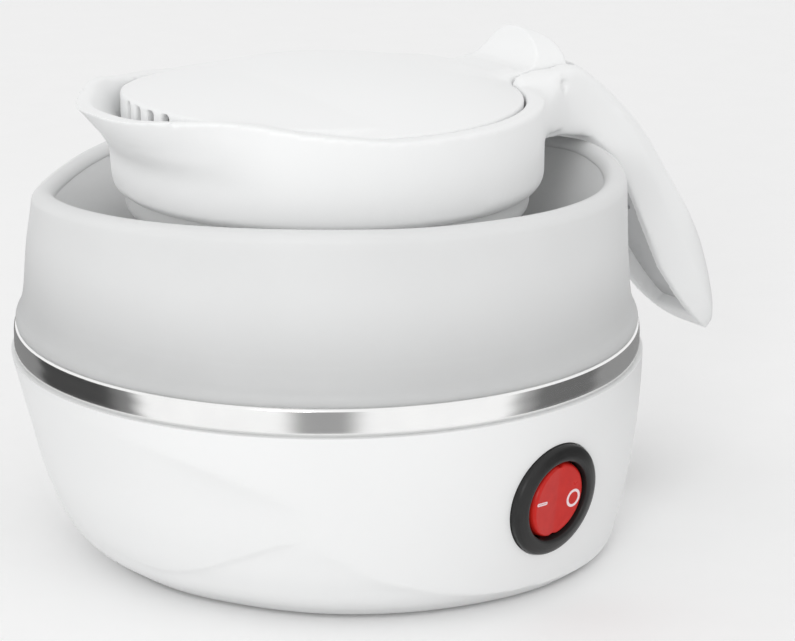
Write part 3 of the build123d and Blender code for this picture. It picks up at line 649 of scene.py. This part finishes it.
def closed_sheet(name, line, theta, bend=None):
    """A sheet's two faces joined at both ends into a closed loop, turned about the axis and then bent."""
    left, right = offset_pair(line)
    for end in (0, -1):
        level = (left[end, 1] + right[end, 1]) / 2
        left[end, 1] = level
        right[end, 1] = level
    loop = np.concatenate([left, right[::-1]])
    points = around_axis(loop[:, 0], loop[:, 1], theta)
    if bend is not None:
        points = bend(points, theta)
    made = surface(name, points, close_rows=True)
    tidy_mesh(made)
    return made


def lip_wave(points, theta):
    """Raises the lip to its crest at each angle and leans it to one side, both fading out down the wall."""
    phi = (theta - VIEW_ZERO + pi) % (2 * pi) - pi
    share = smooth_step(points[..., 2], LIP_BEGINS, LIP_TOP)
    crest = curve_through(np.degrees(phi), LIP_TURNS, LIP_CRESTS) * MM
    radius = np.hypot(points[..., 0], points[..., 1])
    sway = 1 - LIP_SWAY * np.cos(phi - LIP_SWAY_TURN) * share / radius
    height = points[..., 2] + (crest - LIP_TOP) * share
    return np.stack([points[..., 0] * sway, points[..., 1] * sway, height], -1)


lip_centre = (SLEEVE_OUTER - WALL / 2 - LIP_ROLL, LIP_TOP - WALL / 2 - LIP_ROLL)
fold_centre = (NECK_WAIST + FOLD_ROLL, FOLD_CENTRE)
outer_side = lip_centre[0] + LIP_ROLL
inner_side = lip_centre[0] - LIP_ROLL
fold_side = fold_centre[0] + FOLD_ROLL
split_share = (lip_centre[1] - SLEEVE_SPLIT) / (lip_centre[1] - FOLD_CENTRE)
split_radius = inner_side + (fold_side - inner_side) * split_share
flare_z = np.linspace(FLARE_HEIGHTS[0], FLARE_HEIGHTS[-1], 26)
outer_line = np.concatenate([
    np.stack([curve_through(flare_z, FLARE_HEIGHTS, FLARE_RADII), flare_z], -1),
    straight((FLARE_RADII[-1], FLARE_HEIGHTS[-1]), (outer_side, lip_centre[1]), 26)[1:],
    arc(lip_centre, LIP_ROLL, 0, 180, 26)[1:],
    straight((inner_side, lip_centre[1]), (split_radius, SLEEVE_SPLIT), 16)[1:]])
middle_line = np.concatenate([
    straight((split_radius, SLEEVE_SPLIT), (fold_side, FOLD_CENTRE), 60),
    arc(fold_centre, FOLD_ROLL, 0, -90, 16)[1:]])
neck_z = np.linspace(FOLD_CENTRE, NECK_TOP, 48)
neck_r = NECK_WAIST + (NECK_RADIUS - NECK_WAIST) * smooth_step(neck_z, NECK_WAIST_TOP, NECK_GRIP)
neck_line = np.concatenate([
    arc(fold_centre, FOLD_ROLL, -90, -180, 14),
    np.stack([neck_r, neck_z], -1)[1:]])


def sleeve_silicone():
    """Cloudy food silicone with painted shade by height: paler up by the lip, where light gets in from both
    sides, and greyer low down the walls, where they lie in shade.
    """
    made, nodes, shader = new_material(
        "sleeve_silicone", Specular_IOR_Level=0.3, Subsurface_Weight=0.4, Subsurface_Scale=0.004)
    shader.inputs["Subsurface Radius"].default_value = (1.0, 1.0, 1.0)
    spot = nodes.add("TexCoord", out=3)
    height = nodes.add("SeparateXYZ", None, spot, out=2)
    ramp = {"interpolation_type": "SMOOTHSTEP"}
    # Painted shade: the colour runs from grey low on the walls to pale by the lip.
    rise = nodes.add("MapRange", ramp, height, SILICONE_SHADED_BELOW, SILICONE_LIT_ABOVE, 0.0, 1.0)
    clouds = speckle(nodes, 35.0, 4.0)
    level = rise * 0.9 + clouds * 0.25 - 0.08
    shaded_grey = (0.56, 0.565, 0.565, 1)
    lit_pale = (0.76, 0.765, 0.765, 1)
    nodes.feed(shader.inputs["Base Color"], blend_colours(nodes, level, shaded_grey, lit_pale))
    nodes.feed(shader.inputs["Roughness"], clouds * 0.15 + 0.42)
    soft = speckle(nodes, 180.0, 2.0)
    relief(nodes, shader, soft, 0.00012, 0.35)
    return made


silicone = sleeve_silicone()
turn = np.linspace(0, 2 * pi, 300, endpoint=False)
sleeve_outer = closed_sheet("sleeve_outer_wall", outer_line, turn, lip_wave)
dress(sleeve_outer, silicone, "base", "silicone", "silicone_body", sharp=60.0)
turn = np.linspace(0, 2 * pi, 220, endpoint=False)
sleeve_middle = closed_sheet("sleeve_middle_wall", middle_line, turn)
dress(sleeve_middle, silicone, None, "silicone", "silicone_body", sharp=60.0)
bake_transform(sleeve_middle)
sleeve_neck = closed_sheet("sleeve_neck", neck_line, turn)
dress(sleeve_neck, silicone, "head", "silicone", "silicone_body", sharp=60.0)


# Head: collar, pouring spout, hinge cheeks and handle in one white moulding without a seam, its edges rounded
# in the tool. The CAD solid is relaxed on a fine grid, and its rim, nose, cheeks and handle get their last
# curves here. Tables are in degrees from the handle's side and in millimetres, and a pair is a fade.
RIM_TURNS = (0, 95, 100, 105, 110, 115, 120, 130, 135, 140, 145, 150, 155, 160, 165, 170, 180)
RIM_DROPS = (0, 0, 0.2, 0.5, 0.7, 0.7, 0.9, 1.1, 0.9, 0.6, 0.4, 0.4, 0.9, 1.4, 1.9, 2.2, 2.0)
NOSE_TURNS = (0, 140, 145, 150, 155, 160, 165, 170, 180)
NOSE_PULLS = (0, 0, 0, 0.3, 0.8, 1.2, 1.7, 2.1, 2.1)
ROOT_PLACES = (48, 50, 52, 54, 56, 58, 60, 62, 64, 66, 70)
ROOT_OLD = (84.8, 86.0, 87.6, 88.9, 90.0, 90.8, 91.0, 90.2, 89.4, 88.0, 85.5)
ROOT_NEW = (91.0, 90.9, 90.8, 90.7, 90.5, 90.2, 89.8, 89.4, 89.0, 88.2, 85.5)
ROOT_TOP = 93.0
ROOT_START = 46.0
ROOT_END = 70.0
ROOT_OUTSIDE = (49.75, 50.5)
RIM_RISE = (97.0, 104.0)
CHEEK_OUTLINE = (
    (42.9, 102.4), (43.2, 104.4), (44.2, 105.7), (46.2, 106.5), (50.0, 106.9), (57.0, 107.0), (57.0, 102.4))
CHEEK_CROWN = 103.0
CHEEK_SIDES = ((12.15, 0.0), (13.6, 0.15), (14.8, 0.7), (15.7, 1.7))
FAIRING_FOOT = (37.5, 32.6)
FAIRING_BEND = (46.5, 22.2)
FAIRING_TIP = (58.5, 15.0)
FAIRING_INSIDE = ((58.5, 13.2), (44.6, 13.2), (41.5, 21.5), (37.0, 29.2))
FAIRING_LEVELS = ((0.0, 0.35), (0.12, 0.0), (0.6, 0.0), (0.9, 0.3), (1.0, 0.8))
FAIRING_RISE = (42.0, 56.0)
FAIRING_LOW = 94.5
FAIRING_TALL = 7.5
FAIRING_DIP = 2.0
FAIRING_GROWTH = 4.6
HANDLE_SLIM = 0.13
HANDLE_BEGINS = (66.0, 74.0)
SLIM_BELOW = (66.0, 88.0)
HEAD_GRID = 0.62 * MM
PIN_DENT = 1.1
PIN_EDGE = (0.9, 1.7)
PIN_OUTSIDE = (13.8, 14.8)
PIN_X = 55.0
PIN_Z = 103.1
HANDLE_LEVELS = (32, 36, 44, 52, 60, 68, 76, 84, 92)
HANDLE_INSIDE = (108.5, 106.1, 99.3, 94.0, 88.9, 84.0, 78.9, 71.5, 62.0)
HANDLE_OUTSIDE = (114.5, 115.8, 114.8, 112.3, 109.1, 104.3, 98.4, 92.2, 85.3)
OUTSIDE_SHIFT = (-0.8, -0.9, -0.9, -0.9, -0.8, -0.6, -0.3, 0, 0)
INSIDE_SHIFT = (-0.8, -1.2, -2.2, -2.7, -1.6, -0.8, -0.3, 0, 0)
FLARE_OUTSIDE = (49.0, 49.6)
FLARE_END = 10.0
FLARE_FOOT = (84.5, 88.0)
FLARE_TOP = (101.0, 103.5)
CHEEK_ACROSS = (12.7, 13.6)
CHEEK_OUTSIDE = (46.8, 48.6)
CHEEK_FRONT = (40.0, 43.0)
CHEEK_FOOT = (93.5, 95.5)
LEDGE_OUTSIDE = (49.9, 50.6)
LEDGE_START = 44.0
LEDGE_TOP = (92.0, 93.6)
LEDGE_END = (72.0, 76.0)


def loft(name, rows):
    """A solid through closed outlines, rows by points by 3 in millimetres, closed at each end by a fan."""
    rows = np.asarray(rows, float)
    ends = [np.repeat(rows[i].mean(0)[None], rows.shape[1], 0) for i in (0, -1)]
    made = surface(name, np.concatenate([ends[:1], rows, ends[1:]]) * MM)
    tidy_mesh(made)
    return made


def cheek_top(side):
    """The crown of a hinge cheek: its outline in x and z carried along y, lower towards the outer face."""
    outline = np.array(CHEEK_OUTLINE)
    rows = []
    for across, drop in CHEEK_SIDES:
        height = outline[:, 1] - np.where(outline[:, 1] > CHEEK_CROWN, drop, 0)
        rows.append(np.stack([outline[:, 0], np.full(len(outline), side * across), height], -1))
    return loft("cheek_top", rows)


def cheek_fairing(side):
    """A web from the collar's side to the cheek: in plan a curve of second order from foot to tip, bent
    towards a third point, with its back inside the walls. Its height grows towards the cheek."""
    t = np.linspace(0, 1, 14)[:, None]
    foot, bend, tip = np.array([FAIRING_FOOT, FAIRING_BEND, FAIRING_TIP])
    curve = (1 - t) ** 2 * foot + 2 * t * (1 - t) * bend + t * t * tip
    plan = np.concatenate([curve, np.array(FAIRING_INSIDE)])
    rise = smooth_step(plan[:, 0], *FAIRING_RISE)
    rows = []
    for share, inset in FAIRING_LEVELS:
        shrink = 1 - inset / 50
        height = FAIRING_LOW - FAIRING_DIP * rise + (FAIRING_TALL + FAIRING_GROWTH * rise) * share
        rows.append(np.stack([plan[:, 0] * shrink, side * plan[:, 1] * shrink, height], -1))
    return loft("cheek_fairing", rows)


def softened(name, node, voxel, rounds, *added):
    """A merged copy of a CAD node and what is added to it, put on an even fine grid and relaxed, which
    rounds its edges."""
    piece = bpy.data.objects.new(name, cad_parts[node].data.copy())
    bpy.context.scene.collection.objects.link(piece)
    tidy_mesh(piece, 1e-5)
    work = bmesh.new()
    work.from_mesh(piece.data)
    for solid in added:
        work.from_mesh(solid.data)
        bpy.data.objects.remove(solid)
    work.to_mesh(piece.data)
    work.free()
    grid = piece.modifiers.new("grid", "REMESH")
    grid.mode = "VOXEL"
    grid.voxel_size = voxel
    keep(piece, settled(piece))
    relax(piece.data, rounds)
    return piece


def relax(mesh, rounds, pull=0.5, push=-0.52, where=None):
    """Moves each point towards the mean of its neighbours and almost back, which rounds edges and keeps size.
    With a push of 0 it only smooths. where gives each point's share in it, from 0 to 1."""
    count = len(mesh.vertices)
    place = np.zeros(count * 3)
    mesh.vertices.foreach_get("co", place)
    place = place.reshape(-1, 3)
    ends = np.zeros(len(mesh.edges) * 2, int)
    mesh.edges.foreach_get("vertices", ends)
    a, b = ends.reshape(-1, 2).T
    degree = np.bincount(a, minlength=count) + np.bincount(b, minlength=count)
    share = np.ones((count, 1)) if where is None else where(place / MM)[:, None]
    for _ in range(rounds):
        for factor in (pull, push):
            total = np.stack([
                np.bincount(a, place[b, i], count) + np.bincount(b, place[a, i], count)
                for i in range(3)], -1)
            place = place + share * factor * (total / degree[:, None] - place)
    mesh.vertices.foreach_set("co", place.ravel())
    mesh.update()


def reshape(piece, move):
    """Moves the piece's points by a function of their places, as rows of x, y and z in millimetres."""
    place = np.zeros(len(piece.data.vertices) * 3)
    piece.data.vertices.foreach_get("co", place)
    place = move(place.reshape(-1, 3) / MM) * MM
    piece.data.vertices.foreach_set("co", place.ravel())
    piece.data.update()


def flare_crease(place):
    """Where the spout's flare leaves the collar's side: 1 just outside the collar, 0 inside and above it."""
    x, y, z = place.T
    outside = smooth_step(np.hypot(x, y), *FLARE_OUTSIDE) * (x < FLARE_END)
    return outside * smooth_step(z, *FLARE_FOOT) * (1 - smooth_step(z, *FLARE_TOP))


def cheeks_and_root(place):
    """1 on the outer sides of the hinge cheeks and the underside of the handle's root, fading to 0 round
    them."""
    x, y, z = place.T
    radius = np.hypot(x, y)
    across = np.abs(y)
    sides = smooth_step(across, *CHEEK_ACROSS) * smooth_step(radius, *CHEEK_OUTSIDE)
    sides = sides * smooth_step(x, *CHEEK_FRONT) * smooth_step(z, *CHEEK_FOOT)
    root = smooth_step(radius, *LEDGE_OUTSIDE) * (x > LEDGE_START)
    root = root * (1 - smooth_step(z, *LEDGE_TOP)) * (1 - smooth_step(x, *LEDGE_END))
    return np.maximum(sides, root)


def head_moves(place):
    """Lowers the rim towards the spout, pulls in the nose, levels the underside of the handle's root, and
    slims the handle's lower part, whose inner edges stand deeper than its crown."""
    x, y, z = place.T.copy()
    turn = np.degrees(np.abs(np.arctan2(y, x)))
    high = smooth_step(z, *RIM_RISE)
    z = z - high * np.interp(turn, RIM_TURNS, RIM_DROPS)
    radius = np.hypot(x, y)
    pull = 1 - high * np.interp(turn, NOSE_TURNS, NOSE_PULLS) / radius
    x = x * pull
    y = y * pull
    low = np.interp(x, ROOT_PLACES, ROOT_OLD)
    lift = np.interp(x, ROOT_PLACES, ROOT_NEW) - low
    share = np.clip((ROOT_TOP - z) / (ROOT_TOP - low), 0.0, 1.0)
    at_root = smooth_step(radius, *ROOT_OUTSIDE) * (x > ROOT_START) * (x < ROOT_END)
    z = z + lift * share * at_root
    inner = np.interp(z, HANDLE_LEVELS, HANDLE_INSIDE)
    outer = np.interp(z, HANDLE_LEVELS, HANDLE_OUTSIDE)
    depth = np.clip((outer - x) / (outer - inner), 0.0, 1.0)
    on_handle = smooth_step(x, *HANDLE_BEGINS)
    outer_shift = np.interp(z, HANDLE_LEVELS, OUTSIDE_SHIFT)
    inner_shift = np.interp(z, HANDLE_LEVELS, INSIDE_SHIFT)
    x = x + on_handle * (outer_shift * (1 - depth) + inner_shift * depth)
    y = y * (1 - on_handle * HANDLE_SLIM * (1 - smooth_step(z, *SLIM_BELOW)))
    return np.stack([x, y, z], -1)


def pin_recess(place):
    """A small round dent in each cheek's outer side where the hinge pin ends."""
    x, y, z = place.T.copy()
    near = 1 - smooth_step(np.hypot(x - PIN_X, z - PIN_Z), *PIN_EDGE)
    y = y - np.sign(y) * PIN_DENT * near * smooth_step(np.abs(y), *PIN_OUTSIDE)
    return np.stack([x, y, z], -1)


# Painted light: the head's white is paler than the base's, which makes up for the light that the collar, set
# back under the sleeve's lip, lacks. The lid shares it.
head_white_lightened = white_plastic("head_white_lightened", (0.93, 0.935, 0.935, 1), (0.91, 0.915, 0.915, 1))
cheeks = [build(side) for build in (cheek_top, cheek_fairing) for side in (-1, 1)]
head = softened("head_shell", "head_moulding", HEAD_GRID, 12, *cheeks)
relax(head.data, 60, push=0.0, where=flare_crease)
reshape(head, head_moves)
relax(head.data, 22, push=0.0, where=cheeks_and_root)
reshape(head, pin_recess)
dress(head, head_white_lightened, "head", "head_plastic", "head_moulding", sharp=60.0)

liner_grey = white_plastic("liner_grey", (0.62, 0.625, 0.63, 1), (0.58, 0.585, 0.59, 1))
paint("handle_liner", liner_grey)
inner_white = white_plastic("inner_white", (0.84, 0.845, 0.845, 1), (0.8, 0.805, 0.805, 1))
paint("neck_clamp", inner_white)


# Lid: a thin white moulded dome with a raised front lobe, strainer slots and a thumb hump over the hinge. A
# plate with a clear silicone seal is screwed under it.
LID_GRID = 0.5 * MM
DOME_LIFT = 1.5
DOME_ACROSS = (8.0, 14.5)
DOME_OUTSIDE = (101.5, 103.5)
DOME_BEGINS = (20.0, 38.0)
DOME_ENDS = (43.0, 47.5)
HUMP_SHIFT = 2.2
HUMP_HALF_WIDTH = 12.5
HUMP_FOOT = (106.0, 107.4)
HUMP_START = 43.0
HUMP_END = (49.5, 54.5)


def lid_moves(place):
    """Steepens the front of the thumb hump, and lifts the dome a little where the hump grows out of it."""
    x, y, z = place.T.copy()
    middle = 1 - smooth_step(np.abs(y), *DOME_ACROSS)
    over = smooth_step(z, *DOME_OUTSIDE)
    z = z + DOME_LIFT * middle * over * smooth_step(x, *DOME_BEGINS) * (1 - smooth_step(x, *DOME_ENDS))
    front = smooth_step(z, *HUMP_FOOT) * (x > HUMP_START) * (1 - smooth_step(x, *HUMP_END))
    x = x + HUMP_SHIFT * front * (np.abs(y) < HUMP_HALF_WIDTH)
    return np.stack([x, y, z], -1)


lid = softened("lid_shell", "lid_top", LID_GRID, 8)
reshape(lid, lid_moves)
# The lid takes the head's white, which is painted paler than the base's.
dress(lid, head_white_lightened, "lid", "head_plastic", "lid_top", sharp=60.0)
paint("lid_plate", inner_white)
seal_clear, nodes, shader = new_material("seal_clear", Specular_IOR_Level=0.4)
film = speckle(nodes, 200.0, 2.0)
clear = (0.76, 0.77, 0.77, 1)
cloudy = (0.7, 0.71, 0.71, 1)
nodes.feed(shader.inputs["Base Color"], blend_colours(nodes, film, clear, cloudy))
nodes.feed(shader.inputs["Roughness"], film * 0.2 + 0.35)
paint("lid_seal", seal_clear)


# Switch: a glossy black plastic frame snapped into the base, and a red plastic rocker with printed marks.
# The rocker is a slice of a ball with two faces that meet in a shallow ridge, rocking about two pins.
BEZEL_RADII = np.array([9.25, 9.25, 9.33, 9.6, 10.0, 10.5, 11.4, 12.2, 12.7, 12.93, 13.0, 13.0]) * MM
BEZEL_RISES = np.array([-1.5, 0.55, 0.9, 1.12, 1.2, 1.16, 0.98, 0.72, 0.42, 0.12, -0.3, -1.5]) * MM
BALL_RADIUS = 9.0 * MM
BALL_DEPTH = 2.8 * MM
ROCKER_BACK = -3.6 * MM
ROCKER_FACE = 0.45 * MM
ROCKER_SLOPE = 0.13
ROCKER_RIDGE = 0.5 * MM
ROCKER_EDGE = 0.55 * MM
NOTCH_DEPTH = 0.7 * MM
NOTCH_WIDTH = 0.8 * MM
NOTCH_BEGINS = 7.6 * MM
NOTCH_FULL = 8.8 * MM
PIN_RADIUS = 1.1 * MM
PIN_REACH = 10.1 * MM
MARK_TURN = radians(-8.0)
MARK_PLACE = 5.6 * MM
RING_RADIUS = 1.82 * MM
MARK_STROKE = 0.62 * MM
BAR_LENGTH = 3.7 * MM
MARK_RISE = 0.06 * MM


def rocker_height(x):
    """Height of the face over the panel: level on the pressed side, rising evenly past a rounded ridge."""
    past = np.sqrt(x * x + ROCKER_RIDGE * ROCKER_RIDGE) - ROCKER_RIDGE
    return ROCKER_FACE + ROCKER_SLOPE * (past - x) / 2


def rocker_grid(columns):
    """Rows go out from the middle over the face, round the edge on a curve, and down the ball to the back."""
    turn = np.linspace(0, 2 * pi, columns, endpoint=False)
    reach = np.full(columns, BALL_RADIUS * 0.95)
    for _ in range(8):
        reach = np.sqrt(BALL_RADIUS ** 2 - (rocker_height(reach * np.cos(turn)) + BALL_DEPTH) ** 2)
    high = rocker_height(reach * np.cos(turn))
    near = np.linspace(0, 1, 24)[:, None] * (reach - ROCKER_EDGE)
    over = rocker_height(near * np.cos(turn))
    down = high - ROCKER_EDGE
    side = np.sqrt(BALL_RADIUS ** 2 - (down + BALL_DEPTH) ** 2)
    t = np.linspace(0, 1, 9)[1:, None]
    bend_r = (1 - t) ** 2 * near[-1] + 2 * t * (1 - t) * reach + t * t * side
    bend_z = (1 - t) ** 2 * over[-1] + 2 * t * (1 - t) * high + t * t * down
    fall = down + (ROCKER_BACK - down) * np.linspace(0, 1, 8)[1:, None]
    ball = np.sqrt(BALL_RADIUS ** 2 - (fall + BALL_DEPTH) ** 2)
    radii = np.concatenate([near, bend_r, ball, np.zeros((1, columns))])
    heights = np.concatenate([over, bend_z, fall, np.full((1, columns), ROCKER_BACK)])
    notch = np.exp(-(radii * np.cos(turn) / NOTCH_WIDTH) ** 2) * smooth_step(radii, NOTCH_BEGINS, NOTCH_FULL)
    radii = radii - NOTCH_DEPTH * notch
    return np.stack([radii * np.cos(turn), radii * np.sin(turn), heights], -1)


def outline_band(name, across, along, outer, inner):
    """A raised print between two closed outlines on the rocker's face: outer wall, top and inner wall."""
    tilt_x = cos(MARK_TURN)
    tilt_y = sin(MARK_TURN)
    rows = []
    for outline, rise in ((outer, -MARK_RISE), (outer, MARK_RISE), (inner, MARK_RISE), (inner, -MARK_RISE)):
        x = across + outline[:, 0]
        y = along + outline[:, 1]
        level = x * tilt_x - y * tilt_y
        rows.append(np.stack([level, x * tilt_y + y * tilt_x, rocker_height(level) + rise], -1))
    made = surface(name, np.array(rows), close_rows=True)
    tidy_mesh(made)
    made.data.transform(panel)
    return made


black_gloss, nodes, shader = new_material("black_gloss", Specular_IOR_Level=0.3)
wipe = speckle(nodes, 260.0, 4.0)
black = (0.014, 0.014, 0.014, 1)
wiped = (0.022, 0.022, 0.022, 1)
nodes.feed(shader.inputs["Base Color"], blend_colours(nodes, wipe, black, wiped))
nodes.feed(shader.inputs["Roughness"], wipe * 0.12 + 0.26)
relief(nodes, shader, speckle(nodes, 1500.0, 1.0), 0.00003, 0.3)
for node in ("switch_body", "power_inlet", "thermostat"):
    paint(node, black_gloss)
turn = np.linspace(0, 2 * pi, 160, endpoint=False)
profile_share = np.linspace(0, 1, 60)
stops = np.linspace(0, 1, len(BEZEL_RADII))
bezel_r = np.interp(profile_share, stops, BEZEL_RADII)
bezel_z = np.interp(profile_share, stops, BEZEL_RISES)
bezel = surface("switch_frame_ring", around_axis(bezel_r, bezel_z, turn), close_rows=True)
tidy_mesh(bezel)
bezel.data.transform(panel)
dress(bezel, black_gloss, "base", "black_plastic", "switch_bezel", sharp=50.0)

rocker_red, nodes, shader = new_material("rocker_red", Specular_IOR_Level=0.2)
depth_noise = speckle(nodes, 420.0, 3.0)
bright_red = (0.64, 0.022, 0.014, 1)
deep_red = (0.5, 0.012, 0.01, 1)
nodes.feed(shader.inputs["Base Color"], blend_colours(nodes, depth_noise, bright_red, deep_red))
nodes.feed(shader.inputs["Roughness"], depth_noise * 0.12 + 0.24)
relief(nodes, shader, speckle(nodes, 700.0, 2.0), 0.00004, 0.25)
cap = surface("rocker_cap", rocker_grid(144))
tidy_mesh(cap)
cap.data.transform(panel)
dress(cap, rocker_red, "rocker", "rocker_red", "rocker", sharp=60.0)
pin_turn = np.linspace(0, 2 * pi, 24, endpoint=False)
pins = surface("rocker_pins", around_axis(
    [0, PIN_RADIUS, PIN_RADIUS, 0], [-PIN_REACH, -PIN_REACH, PIN_REACH, PIN_REACH], pin_turn))
tidy_mesh(pins)
pins.data.transform(panel @ Matrix.Translation((0, 0, -BALL_DEPTH)) @ Matrix.Rotation(pi / 2, 4, "X"))
dress(pins, rocker_red, "rocker", "rocker_red", "rocker")

print_white, nodes, shader = new_material("print_white", Specular_IOR_Level=0.3)
worn = speckle(nodes, 2500.0, 2.0)
lit_print = (0.92, 0.78, 0.8, 1)
worn_print = (0.86, 0.68, 0.71, 1)
nodes.feed(shader.inputs["Base Color"], blend_colours(nodes, worn, lit_print, worn_print))
nodes.feed(shader.inputs["Roughness"], worn * 0.2 + 0.35)
turn = np.linspace(0, 2 * pi, 72, endpoint=False)
circle = np.stack([np.cos(turn), np.sin(turn)], -1)
ring_outside = circle * (RING_RADIUS + MARK_STROKE / 2)
ring_inside = circle * (RING_RADIUS - MARK_STROKE / 2)
ring = outline_band("mark_off", MARK_PLACE, 0, ring_outside, ring_inside)
dress(ring, print_white, "rocker", "rocker_red")
stretch = np.sign(np.cos(turn))[:, None] * np.array([[(BAR_LENGTH - MARK_STROKE) / 2, 0]])
bar_outside = stretch + circle * MARK_STROKE * 0.6
bar_inside = stretch * 0.98 + circle * MARK_STROKE * 0.1
bar = outline_band("mark_on", -MARK_PLACE, 0, bar_outside, bar_inside)
dress(bar, print_white, "rocker", "rocker_red")

contact_tin = turned_steel("contact_tin", (0.7, 0.62, 0.42, 1), (0.6, 0.52, 0.34, 1), 0.25, 0.1)
for node in ("inlet_blades", "switch_tabs"):
    paint(node, contact_tin)
lamp_glass, nodes, shader = new_material("lamp_glass", Transmission_Weight=0.6)
glow = speckle(nodes, 400.0, 1.0)
amber = (0.95, 0.6, 0.4, 1)
dim_amber = (0.9, 0.5, 0.35, 1)
nodes.feed(shader.inputs["Base Color"], blend_colours(nodes, glow, amber, dim_amber))
nodes.feed(shader.inputs["Roughness"], glow * 0.1 + 0.05)
paint("switch_lamp", lamp_glass)
